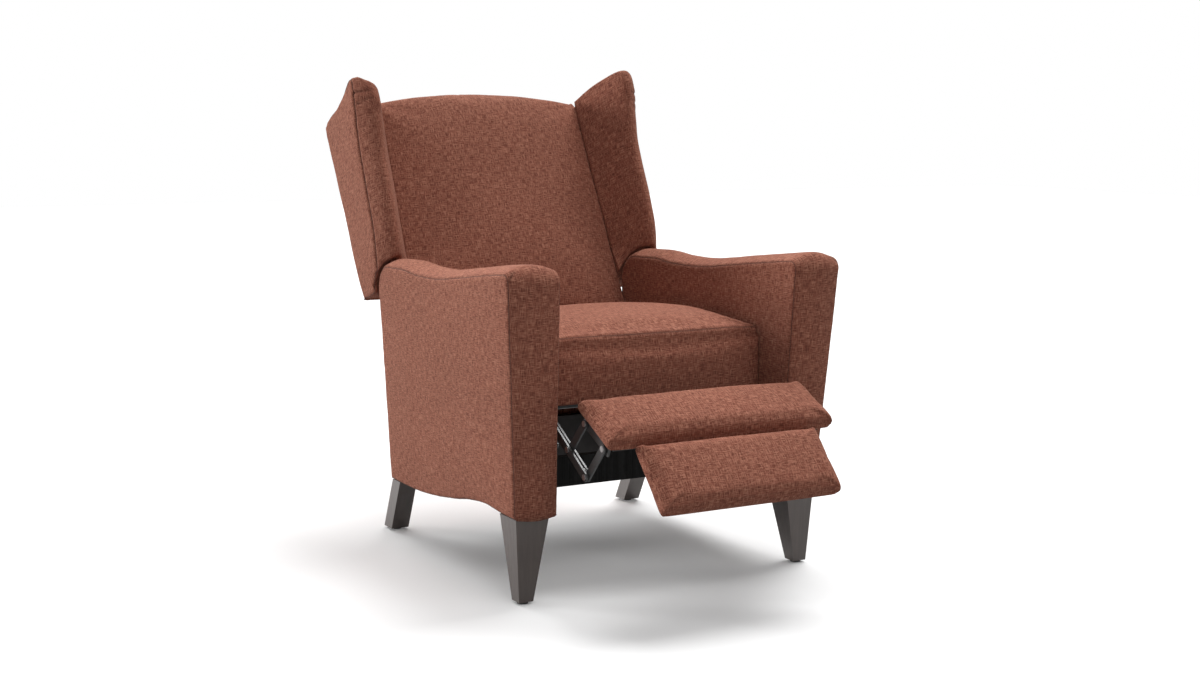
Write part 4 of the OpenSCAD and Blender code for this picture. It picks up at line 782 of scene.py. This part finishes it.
def wing(side):
    sign = -1 if side == "left" else 1
    rows = np.array([np.concatenate([[r[0]], wing_ring(r).reshape(-1)]) for r in WING_RING_SHARES])
    rows = smooth_curve(rows, 4)
    rows = np.concatenate([rows[:-1], [lerp(rows[-2], rows[-1], t) for t in WING_LAST_SHARES], rows[-1:]])
    outlines = [smooth_curve(row[1:].reshape(-1, 2), 8, closed=True) for row in rows]
    rise, ahead = np.array(CORNER_RISE[side]), np.array(CORNER_AHEAD[side])
    for row, line in zip(rows, outlines):
        taken = np.array([corner_reach(s, h) for s, h in line])
        line[:, 0] -= taken * np.interp(row[0], ahead[:, 0], ahead[:, 1])
        line[:, 1] += taken * np.interp(row[0], rise[:, 0], rise[:, 1])
    outlines = [np.concatenate([o, o[:1]]) for o in outlines]

    def inner_x(h):
        return back_half(h) + WING_GAP

    grid = np.array([[from_back(lerp(inner_x(h), wing_half(s), row[0]), s, h) for s, h in line]
                     for row, line in zip(rows, outlines)])
    steps = np.linalg.norm(np.diff(grid, axis=0), axis=2).mean(1)
    across = np.concatenate([[0.0], np.cumsum(steps)])
    walked = along(grid[-1])
    panels = [(grid, [[(u, v) for v in walked] for u in across])]
    mid = np.array(WING_MID)
    for outer, line in ((False, outlines[0]), (True, outlines[-1])):
        face, cloth = [], []
        for k in inward_rows(WING_PANEL_D, 14):
            t = k / WING_PANEL_D
            puff = 1 - math.exp(-k / WING_PUFF_W)
            row = []
            ring = [lerp(p, mid, t) for p in line]
            for s, h in ring:
                swollen = wing_half(s) + WING_PUFF * puff + WING_BELLY * min(1, 2 * t)
                row.append(from_back(swollen if outer else inner_x(h), s, h))
            face.append(row)
            cloth.append([(s + 5 * CUT_APART, h) for s, h in ring])
        panels.append((face, cloth))
    piece = sewn(f"{side}_wing_fabric", panels, sign < 0)
    seam = grid[-1] * np.array([sign, 1, 1])
    soften(piece, height=1.3, size=110.0, seed=54 + 3 * sign)
    draw_in(piece, [seam], depth=2.0, width=2.6, pucker=0.6, seed=7 - sign)
    up, out = WING_SEAM_SHARES[-1]
    pleats = []
    for lean, drop in GATHERS:
        path = []
        for t in np.linspace(0, 1, 14):
            s = -out * WING_REACH - GATHER_ROLL_SHARE * WING_ROLL * math.sin(math.pi * 0.5 * t)
            h = up * BACK_H - drop - GATHER_FALL * t + lean * t
            path.append(from_back(sign * (wing_half(s) - 1 - GATHER_W * t), s, h))
        pleats.append(onto(piece, path))
    draw_in(piece, pleats, depth=3.2, width=3.0, pucker=0.8, seed=13)
    inside = read_mesh(piece.data, "co")
    half = back_half(to_back(*in_chair(inside)[:, 1:].T)[1]) + WING_INSIDE_GAP
    inside[:, 0] = sign * np.maximum(np.abs(inside[:, 0]), half * MM)
    put_places(piece, inside)
    dress(piece, f"{side}_wing", "back", [seam])


# The footrest pads

PAD_EDGE, PAD_SLOPE, PAD_D, PAD_W, PAD_T, PAD_CROWN = (-394.0, 417.0), 26.2, 138.0, 520.0, 30.0, 10.0
FLAP_AXIS, FLAP_SLOPE, FLAP_D, FLAP_W = (-493.92, 316.56), 48.6, 141.0, 410.0
FLAP_START, FLAP_UNDER = 4.0, 16.0
# The covers stand a little above the boards, as the stuffing lifts them
PAD_LIFT = 6.0
# The lower pad's top edge swells towards the upper pad
FLAP_SWELL = 7.0
PAD_HELD, PAD_THIN_SHARE = 2.5, 0.9
# Across a pad: place, share of the thickness, share of the crown, share of the depth
PAD_END_SHARES = [(0.36, 1, 0.95, 1), (0.7, 1, 0.76, 1), (0.93, 0.92, 0.38, 1), (0.985, 0.72, 0.10, 0.985),
                  (1, 0.42, 0, 0.95)]
PAD_RING_SHARES = [(-f, *rest) for f, *rest in reversed(PAD_END_SHARES)] + [(0, 1, 1, 1)] + PAD_END_SHARES
PAD_CAP_SHARES = (0, 0.12, 0.3, 0.55, 0.8, 1)
# Along a pad and round it: place, height, share of the crown
PAD_SECTION_SHARES = [(0.05, 0, 0), (0.35, 0, 0), (0.65, 0, 0), (0.95, 0, 0), (0.985, 0.14, 0), (1, 0.45, 0),
                      (0.985, 0.76, 0.1), (0.94, 0.96, 0.3), (0.80, 1, 0.72), (0.62, 1, 0.94), (0.5, 1, 1),
                      (0.38, 1, 0.94), (0.2, 1, 0.72), (0.06, 0.96, 0.3), (0.015, 0.76, 0.1), (0, 0.45, 0),
                      (0.015, 0.14, 0)]


def pad_cover(node, body, origin, slope, width, d0, d1, z0, seed):
    c, s = math.cos(math.radians(slope)), math.sin(math.radians(slope))
    t = PAD_T - PAD_CROWN / 2

    def place(x, u, w):
        w += PAD_LIFT * min(1, max(0, (w - z0) / t))
        return (x, origin[0] - c * u - s * w, origin[1] - s * u + c * w)

    section = smooth_curve(PAD_SECTION_SHARES, 6, closed=True)
    section = np.concatenate([section, section[:1]])
    rows = []
    for r in smooth_curve(PAD_RING_SHARES, 9):
        row = []
        for q in section:
            u = lerp((d0 + d1) / 2, lerp(d0, d1, q[0]), r[3])
            w = z0 + lerp(0.5, q[1], r[1]) * t * lerp(PAD_THIN_SHARE, 1, r[2]) + q[2] * r[2] * PAD_CROWN
            row.append(place(r[0] * width / 2, u, w))
        rows.append(row)
    grid = np.array(rows)
    walked = along(grid[len(grid) // 2])
    panels = [(grid, [[(p[0], walked[k]) for k, p in enumerate(row)] for row in grid])]
    for end in (0, -1):
        mid = grid[end, :-1].mean(0)
        cap = np.array([lerp(grid[end], mid[None, :], k) for k in PAD_CAP_SHARES])
        panels.append((cap, [[(p[1] + 3 * CUT_APART, p[2]) for p in row] for row in cap]))
    piece = sewn(node + "_fabric", panels)
    under = place(0, 0, z0)

    def held(p):
        return (p[:, 2] - under[2]) * c - (p[:, 1] - under[1]) * s < PAD_HELD

    stuffed(piece, held, pressure=2.6, inset=0.8, cap=4.2)
    soften(piece, height=0.9, size=90.0, seed=seed, mask=lambda p: ~held(p))
    dress(piece, node, body)


# The apron below the back

APRON_Y, APRON_T, APRON_LOW, APRON_HIGH, APRON_ARM_GAP, APRON_SOFT = 282.3, 12.0, 132.0, 300.0, 0.3, 4.0
APRON_SHARES = [(0, 0), (0.02, 0.6), (0.12, 0.92), (0.5, 1), (0.88, 0.92), (0.98, 0.6), (1, 0)]
APRON_EDGE_SHARE = 0.45


def rear_apron():
    shares = smooth_curve(APRON_SHARES, 7)
    half = arm_inner_x(APRON_LOW) - APRON_ARM_GAP

    def outer(f):
        side = 1 - abs(f) ** 10
        points = []
        for s in shares:
            thick = APRON_EDGE_SHARE + (1 - APRON_EDGE_SHARE) * s[1] * side
            points.append((f * half, APRON_Y + APRON_T * thick, lerp(APRON_LOW, APRON_HIGH, s[0])))
        return points

    def inner(f):
        return [(f * half, APRON_Y, lerp(APRON_LOW, APRON_HIGH, s[0])) for s in shares]

    piece = wrapped_cover("rear_apron_fabric", outer, inner, PANEL_COLUMNS)
    soften(piece, height=0.6, size=120.0, seed=61, mask=lambda p: p[:, 1] > APRON_Y + APRON_SOFT)
    dress(piece, "rear_apron", "base")


# Finishes

# Scales of the weave's noise: along and across a slub, along and across a broad shade, and the rest
SLUB_SCALES, BROAD_SCALES = (64.0, 780.0), (26.0, 230.0)
DRIFT_SCALE, DRIFT, FLECK_SCALE, PATCH_SCALE = 55.0, 0.0022, 520.0, 6.0
# Shares of the broad shades, dark and light slubs, worn patches and the painted seam shade in the cloth's
# colour
BROAD_SHARE, DARK_SHARE, LIGHT_SHARE, PATCH_SHARE, PAINTED_SHADE_SHARE = 0.16, 0.66, 0.58, 0.22, 0.6
# Ramps of the weave: from which value to which, and the greys that they give there
LIGHT_RAMP, DARK_RAMP, BROAD_RAMP = (0.54, 0.66), (0.34, 0.46, 1.0, 0.0), (0.38, 0.62)
LIGHT_FLECK_RAMP, DARK_FLECK_RAMP = (0.30, 0.50, 0.55, 1.0), (0.50, 0.70, 1.0, 0.55)
# The near-black of the painted shade along seams, also the thread's darker fleck, and the thread's own colour
SEAM_SHADE_AND_DARK_THREAD, THREAD_COLOUR = (0.030, 0.011, 0.008, 1), (0.09, 0.032, 0.022, 1)


def group_of(name, inputs, outputs, kind="ShaderNodeTree"):
    """An empty group with its named sockets, and its input and output nodes."""
    tree = bpy.data.node_groups.new(name, kind)
    for label, socket_kind, value in inputs:
        socket = tree.interface.new_socket(label, in_out="INPUT", socket_type="NodeSocket" + socket_kind)
        if value is not None:
            socket.default_value = value
    for label, socket_kind in outputs:
        tree.interface.new_socket(label, in_out="OUTPUT", socket_type="NodeSocket" + socket_kind)
    return tree, tree.nodes.new("NodeGroupInput"), tree.nodes.new("NodeGroupOutput")


class Maker:
    """Short ways to add and join nodes."""

    def __init__(self, tree):
        self.tree = tree

    def join(self, a, b):
        self.tree.links.new(a, b)

    def give(self, socket, value):
        if isinstance(value, bpy.types.NodeSocket):
            self.join(value, socket)
        else:
            socket.default_value = value

    def node(self, kind, links=None, **settings):
        node = self.tree.nodes.new(kind)
        for key, value in settings.items():
            setattr(node, key, value)
        for key, value in (links or {}).items():
            self.give(node.inputs[key], value)
        return node

    def math(self, operation, a, b, clamp=False):
        return self.node("ShaderNodeMath", {0: a, 1: b}, operation=operation, use_clamp=clamp).outputs[0]

    def plus(self, a, b):
        return self.math("ADD", a, b)

    def times(self, a, b, clamp=False):
        return self.math("MULTIPLY", a, b, clamp)

    def mix(self, share, a, b, blend="MIX"):
        node = self.node("ShaderNodeMix", data_type="RGBA", blend_type=blend)
        for socket, value in ((node.inputs[0], share), (node.inputs[6], a), (node.inputs[7], b)):
            self.give(socket, value)
        return node.outputs[2]

    def noise(self, vector, scale, detail=2.0, rough=0.5, output="Fac"):
        links = {"Vector": vector, "Scale": scale, "Detail": detail, "Roughness": rough}
        return self.node("ShaderNodeTexNoise", links).outputs[output]

    def vector(self, operation, a, b):
        return self.node("ShaderNodeVectorMath", {0: a, 1: b}, operation=operation).outputs[0]

    def stretched(self, vector, x, y, z=1.0):
        return self.vector("MULTIPLY", vector, (x, y, z))

    def ramp(self, value, start, end, low=0.0, high=1.0):
        """Grey that goes from low to high as the value goes from start to end."""
        node = self.node("ShaderNodeValToRGB", {"Fac": value})
        for element, place, shade in zip(node.color_ramp.elements, (start, end), (low, high)):
            element.position = place
            element.color = grey(shade)
        return node.outputs["Color"]

    def group(self, tree, links):
        return self.node("ShaderNodeGroup", links, node_tree=tree)

    def object_place(self):
        return self.node("ShaderNodeTexCoord").outputs["Object"]

    def seen(self):
        """1 where the camera looks, also by way of a mirror or glass, and 0 for light that only bounces."""
        path = self.node("ShaderNodeLightPath").outputs
        mirrored = self.math("MAXIMUM", path["Is Glossy Ray"], path["Is Transmission Ray"])
        return self.math("MAXIMUM", path["Is Camera Ray"], mirrored)


def grey(v):
    return (v, v, v, 1)


def build_weave():
    """Slubbed chenille: two sets of crossing threads, with thick, thin, light and dark runs."""
    tree, given, result = group_of(
        "slubbed_weave",
        [("Cloth", "Vector", None), ("Threads", "Float", 620.0), ("Body", "Color", (0.2, 0.08, 0.05, 1)),
         ("Light Thread", "Color", (0.4, 0.2, 0.15, 1)), ("Dark Thread", "Color", (0.1, 0.03, 0.02, 1))],
        [("Color", "Color"), ("Roughness", "Float"), ("Height", "Float")])
    m = Maker(tree)
    cloth, light_thread, dark_thread = (given.outputs[k] for k in ("Cloth", "Light Thread", "Dark Thread"))
    # threads wander a little
    shift = m.vector("SUBTRACT", m.noise(cloth, DRIFT_SCALE, 1.0, output="Color"), (0.5, 0.5, 0.5))
    where = m.vector("ADD", cloth, m.stretched(shift, DRIFT, DRIFT, DRIFT))
    split = m.node("ShaderNodeSeparateXYZ", {"Vector": where})
    turns = m.times(given.outputs["Threads"], 2 * math.pi)
    warp, weft = (m.math("SINE", m.times(split.outputs[axis], turns), 0.0) for axis in ("X", "Y"))
    # slubs run along each set of threads, light ones and dark ones
    slubs = [m.noise(m.stretched(where, *s), 1.0, 1.0) for s in (SLUB_SCALES, SLUB_SCALES[::-1])]
    broads = [m.noise(m.stretched(where, *s), 1.0, 2.0, 0.55) for s in (BROAD_SCALES, BROAD_SCALES[::-1])]
    fleck = m.noise(where, FLECK_SCALE, 2.0, 0.7)
    light = m.plus(*(m.ramp(slub, *LIGHT_RAMP) for slub in slubs))
    light = m.times(light, m.ramp(fleck, *LIGHT_FLECK_RAMP), clamp=True)
    dark = m.plus(*(m.ramp(slub, *DARK_RAMP) for slub in slubs))
    dark = m.times(dark, m.ramp(fleck, *DARK_FLECK_RAMP), clamp=True)
    broad = m.plus(*(m.times(shade, 0.5) for shade in broads))
    slub = m.plus(m.times(m.plus(*slubs), 0.30), m.times(broad, 0.40))
    colour = m.mix(m.ramp(broad, *BROAD_RAMP), dark_thread, light_thread)
    colour = m.mix(BROAD_SHARE, given.outputs["Body"], colour)
    colour = m.mix(m.times(dark, DARK_SHARE), colour, dark_thread)
    colour = m.mix(m.times(light, LIGHT_SHARE), colour, light_thread)
    patch = m.mix(m.noise(cloth, PATCH_SCALE, 3.0), grey(0.22), grey(0.80))
    thread_height = m.plus(m.times(warp, 0.5), m.times(weft, 0.5))
    m.join(m.mix(PATCH_SHARE, colour, patch, "OVERLAY"), result.inputs["Color"])
    m.join(m.plus(0.86, m.times(slub, 0.12)), result.inputs["Roughness"])
    m.join(m.plus(m.times(thread_height, 0.16), m.times(slub, 1.1)), result.inputs["Height"])
    return tree


def build_wear():
    """Fine scratches, specks and a rubbed edge, as masks over any hard surface."""
    tree, given, result = group_of(
        "handled_surface", [("Place", "Vector", None), ("Grain", "Float", 60.0), ("Edge", "Float", 0.5)],
        [("Scuff", "Float"), ("Speck", "Float"), ("Edge Mask", "Float")])
    m = Maker(tree)
    place = given.outputs["Place"]
    scratches = m.noise(m.stretched(place, 1.0, 6.0), given.outputs["Grain"], 5.0, 0.65)
    point = m.ramp(m.node("ShaderNodeNewGeometry").outputs["Pointiness"], 0.50, 0.60)
    m.join(m.ramp(scratches, 0.45, 0.75), result.inputs["Scuff"])
    m.join(m.ramp(m.noise(place, 900.0), 0.62, 0.72), result.inputs["Speck"])
    m.join(m.times(point, given.outputs["Edge"]), result.inputs["Edge Mask"])
    return tree


def build_grain():
    """Wood grain that runs along the vertical, with fine pores."""
    tree, given, result = group_of(
        "wood_grain",
        [("Place", "Vector", None), ("Dark", "Color", grey(0.01)), ("Pale", "Color", grey(0.04))],
        [("Color", "Color"), ("Height", "Float")])
    m = Maker(tree)
    place = given.outputs["Place"]
    bands = m.noise(m.stretched(place, 46.0, 46.0, 3.0), 1.6, 4.0, 0.6)
    pores = m.noise(m.stretched(place, 900.0, 900.0, 26.0), 1.0)
    colour = m.mix(m.ramp(bands, 0.35, 0.68), given.outputs["Dark"], given.outputs["Pale"])
    colour = m.mix(m.times(m.ramp(pores, 0.55, 0.7), 0.5), colour, given.outputs["Dark"])
    m.join(colour, result.inputs["Color"])
    m.join(m.plus(m.times(bands, 0.4), m.times(pores, 0.6)), result.inputs["Height"])
    return tree


def build_stitches():
    """Short threads laid end to end along a seam."""
    sizes = [(label, "Float", value) for label, value in STITCH_SIZES.items()]
    tree, given, result = group_of(
        "seam_stitches", [("Geometry", "Geometry", None)] + sizes, [("Geometry", "Geometry")],
        "GeometryNodeTree")
    m = Maker(tree)
    length, radius = given.outputs["Stitch Length"], given.outputs["Thread Radius"]
    path = given.outputs["Geometry"]
    points = m.node("GeometryNodeCurveToPoints", {"Curve": path, "Length": length}, mode="LENGTH").outputs
    stitch = m.node(
        "GeometryNodeMeshCylinder",
        {"Vertices": STITCH_SIDES, "Radius": radius, "Depth": m.times(length, STITCH_SHARE)},
        fill_type="NGON")
    turned = m.node("FunctionNodeAlignRotationToVector", {"Vector": points["Tangent"]}, axis="Z")
    laid = m.node("GeometryNodeInstanceOnPoints", {
        "Points": points["Points"], "Instance": stitch.outputs["Mesh"],
        "Rotation": turned.outputs["Rotation"]})
    real = m.node("GeometryNodeRealizeInstances", {"Geometry": laid.outputs["Instances"]})
    coloured = m.node("GeometryNodeSetMaterial", {"Geometry": real.outputs["Geometry"], "Material": thread})
    m.join(coloured.outputs["Geometry"], result.inputs["Geometry"])
    return tree


def material(name):
    made = bpy.data.materials.new(name)
    made.use_nodes = True
    made.node_tree.nodes.clear()
    m = Maker(made.node_tree)
    shader = m.node("ShaderNodeBsdfPrincipled")
    m.join(shader.outputs["BSDF"], m.node("ShaderNodeOutputMaterial").inputs["Surface"])
    return made, m, shader


def finish_with(m, shader, **values):
    """Gives the shader's sockets their values. A name's underscores stand for spaces."""
    for key, value in values.items():
        m.give(shader.inputs[key.replace("_", " ")], value)


def bumped(m, height, strength, distance):
    bump = m.node("ShaderNodeBump", {"Height": height, "Strength": strength, "Distance": distance})
    return bump.outputs["Normal"]


def cloth_material(name, body, light, dark, threads, sewn_cloth=True, sheen=0.08):
    made, m, shader = material(name)
    source = m.node("ShaderNodeUVMap", uv_map="cloth").outputs["UV"] if sewn_cloth else m.object_place()
    woven = m.group(weave, {
        "Cloth": source, "Threads": threads, "Body": body, "Light Thread": light,
        "Dark Thread": dark}).outputs
    colour = woven["Color"]
    # Painted shade: the cloth's colour is darkened towards near-black along its seams
    if sewn_cloth:
        painted_seam_shade = m.node("ShaderNodeAttribute", attribute_name="painted_seam_shade").outputs["Fac"]
        colour = m.mix(m.times(painted_seam_shade, PAINTED_SHADE_SHARE), colour, SEAM_SHADE_AND_DARK_THREAD)
    finish_with(m, shader, Base_Color=colour, Roughness=woven["Roughness"],
                Normal=bumped(m, woven["Height"], 0.6, 0.0009), Sheen_Weight=sheen, Sheen_Roughness=0.45,
                Sheen_Tint=(0.95, 0.66, 0.48, 1), Specular_IOR_Level=0.12)
    return made


def wood_material(name, dark, pale, rough, coat):
    made, m, shader = material(name)
    place = m.object_place()
    grained = m.group(grain, {"Place": place, "Dark": dark, "Pale": pale}).outputs
    worn = m.group(wear, {"Place": place, "Grain": 30.0, "Edge": 0.35}).outputs
    rubbed = tuple(min(1, 2.2 * v) for v in pale[:3]) + (1,)
    finish_with(m, shader, Base_Color=m.mix(worn["Edge Mask"], grained["Color"], rubbed),
                Roughness=m.plus(rough, m.times(worn["Scuff"], 0.15)),
                Normal=bumped(m, grained["Height"], 0.25, 0.0003), Coat_Weight=coat, Coat_Roughness=0.3)
    return made


def metal_material(name, colour, metallic, rough, worn_colour):
    made, m, shader = material(name)
    worn = m.group(wear, {"Place": m.object_place(), "Grain": 90.0, "Edge": 0.6}).outputs
    base = m.mix(m.times(worn["Scuff"], 0.35), colour, worn_colour)
    finish_with(m, shader, Base_Color=m.mix(worn["Edge Mask"], base, worn_colour), Metallic=metallic,
                Roughness=m.plus(rough, m.times(worn["Scuff"], 0.18)),
                Normal=bumped(m, m.plus(worn["Scuff"], worn["Speck"]), 0.12, 0.0002))
    return made


def thread_material():
    made, m, shader = material("seam_thread")
    fleck = m.noise(m.object_place(), 1500.0)
    finish_with(m, shader, Base_Color=m.mix(fleck, SEAM_SHADE_AND_DARK_THREAD, THREAD_COLOUR), Roughness=0.75)
    return made


weave, wear, grain = build_weave(), build_wear(), build_grain()
chenille = cloth_material(
    "rust_chenille", (0.240, 0.078, 0.051, 1), (0.54, 0.25, 0.165, 1), (0.085, 0.023, 0.016, 1), 620.0)
dust_cloth = cloth_material("black_dust_cloth", grey(0.012), grey(0.03), grey(0.005), 800.0, False, 0.05)
thread = thread_material()
espresso = wood_material(
    "espresso_stained_wood", (0.017, 0.011, 0.009, 1), (0.046, 0.033, 0.028, 1), 0.38, 0.25)
hardwood = wood_material("planed_hardwood", (0.33, 0.19, 0.09, 1), (0.52, 0.35, 0.19, 1), 0.62, 0.0)
# A near-black wood for the rails and boards under the seat and the footrest
near_black_wood = wood_material(
    "near_black_hardwood", (0.006, 0.005, 0.005, 1), (0.016, 0.013, 0.012, 1), 0.6, 0.0)
plywood = wood_material("plywood", (0.42, 0.27, 0.14, 1), (0.60, 0.43, 0.25, 1), 0.68, 0.0)
black_steel = metal_material("black_enamelled_steel", (0.010, 0.010, 0.011, 1), 0.0, 0.34, grey(0.06))
zinc = metal_material("zinc_plated_steel", (0.62, 0.62, 0.64, 1), 1.0, 0.28, grey(0.42))
spring_wire = metal_material("oiled_spring_wire", (0.16, 0.15, 0.14, 1), 1.0, 0.36, (0.30, 0.29, 0.27, 1))
glide_plastic = metal_material("moulded_black_plastic", grey(0.015), 0.0, 0.55, grey(0.05))
stitches = build_stitches()

BY_SLOT = {"lining": dust_cloth, "hardwood": hardwood, "plywood": plywood, "espresso_wood": espresso,
           "glide_plastic": glide_plastic, "black_steel": black_steel, "zinc_steel": zinc,
           "spring_steel": spring_wire, "fabric": chenille}
for part in frame["record"]["subparts"]:
    mesh = cad[part["node"]].data
    mesh.materials.clear()
    mesh.materials.append(BY_SLOT[part["material_slot"]])

# These rails and boards take the near-black wood in place of their slot's hardwood or plywood
for name in ("seat_cross_rails", "seat_side_rails", "rear_rail", "corner_blocks", "footrest_board",
             "flap_board"):
    cad[name].data.materials[0] = near_black_wood

# Dressing the chair

for side in ("left", "right"):
    arm_cover(side)
    wing(side)
seat_cushion()
back_cushion()
outside_back()
rear_apron()
pad_cover("upper_footrest_pad", "footrest", PAD_EDGE, PAD_SLOPE, PAD_W, 0.0, PAD_D, -PAD_T, 71)
pad_cover("lower_footrest_pad", "flap", FLAP_AXIS, FLAP_SLOPE, FLAP_W,
          FLAP_START - FLAP_SWELL, FLAP_START + FLAP_D, FLAP_UNDER, 77)

# Floor, light and camera

# The camera's turn, its look downwards and its roll, in radians
ANGLE, DOWN, ROLL = 0.51631, 0.13166, 0.00454
EYE = (-1792.8, -3179.9, 952.3)
FOCAL_PX, PHOTO_W, SENSOR = 1701.0, 1200.0, 36.0
# In metres
FAR_CLIP, FLOOR_HALF = 60, 14.0
WORLD_FILL = 0.26
FLOOR_SHADE, FLOOR_BOUNCE, FLOOR_GLOW = 0.80, 0.30, 0.10
# Where each lamp shines to, its strength and its spread in degrees
LAMPS = {"overhead_right_softbox": ((-0.40, -0.20, -0.90), 2.4, 30),
         "front_top_softbox": ((0.0, 0.5, -0.87), 0.9, 50),
         "rear_softbox": ((0.1, -0.75, -0.6), 1.5, 40),
         "left_side_softbox": ((0.74, -0.66, -0.10), 2.4, 20)}


def camera():
    forward = Vector((math.sin(ANGLE) * math.cos(DOWN), math.cos(ANGLE) * math.cos(DOWN), -math.sin(DOWN)))
    level = Vector((math.cos(ANGLE), -math.sin(ANGLE), 0))
    upright = level.cross(forward)
    right = level * math.cos(ROLL) + upright * math.sin(ROLL)
    up = upright * math.cos(ROLL) - level * math.sin(ROLL)
    data = bpy.data.cameras.new("photograph_view")
    data.sensor_width = SENSOR
    data.lens = FOCAL_PX / PHOTO_W * SENSOR
    data.clip_end = FAR_CLIP
    made = in_scene("photograph_view", data)
    rows = [(right[k], up[k], -forward[k], at) for k, at in enumerate(in_metres(EYE))]
    made.matrix_world = Matrix((*rows, (0, 0, 0, 1)))
    bpy.context.scene.camera = made


def lamp(name, towards, strength, spread_angle):
    data = bpy.data.lights.new(name, "SUN")
    data.energy = strength
    data.angle = math.radians(spread_angle)
    made = in_scene(name, data)
    made.rotation_mode = "QUATERNION"
    made.rotation_quaternion = Vector(towards).to_track_quat("-Z", "Y")


def studio():
    mesh = bpy.data.meshes.new("studio_floor")
    bm = bmesh.new()
    bmesh.ops.create_grid(bm, x_segments=2, y_segments=2, size=FLOOR_HALF)
    bm.to_mesh(mesh)
    bm.free()
    floor = in_scene("studio_floor", mesh)
    made, m, shader = material("pale_studio_floor")
    seen = m.seen()
    finish_with(m, shader, Base_Color=m.mix(seen, grey(FLOOR_BOUNCE), grey(FLOOR_SHADE)),
                Emission_Color=m.mix(seen, grey(0.0), grey(FLOOR_GLOW)), Emission_Strength=1.0, Roughness=0.9,
                Specular_IOR_Level=0.0)
    mesh.materials.append(made)

    world = bpy.data.worlds.new("white_studio")
    world.use_nodes = True
    world.node_tree.nodes.clear()
    m = Maker(world.node_tree)
    strength = m.plus(m.times(m.seen(), 1 - WORLD_FILL), WORLD_FILL)
    shade = m.node("ShaderNodeBackground", {"Color": grey(1), "Strength": strength})
    m.join(shade.outputs[0], m.node("ShaderNodeOutputWorld").inputs["Surface"])
    bpy.context.scene.world = world
    for name, settings in LAMPS.items():
        lamp(name, *settings)


camera()
studio()
bpy.context.scene.view_settings.view_transform = "Standard"
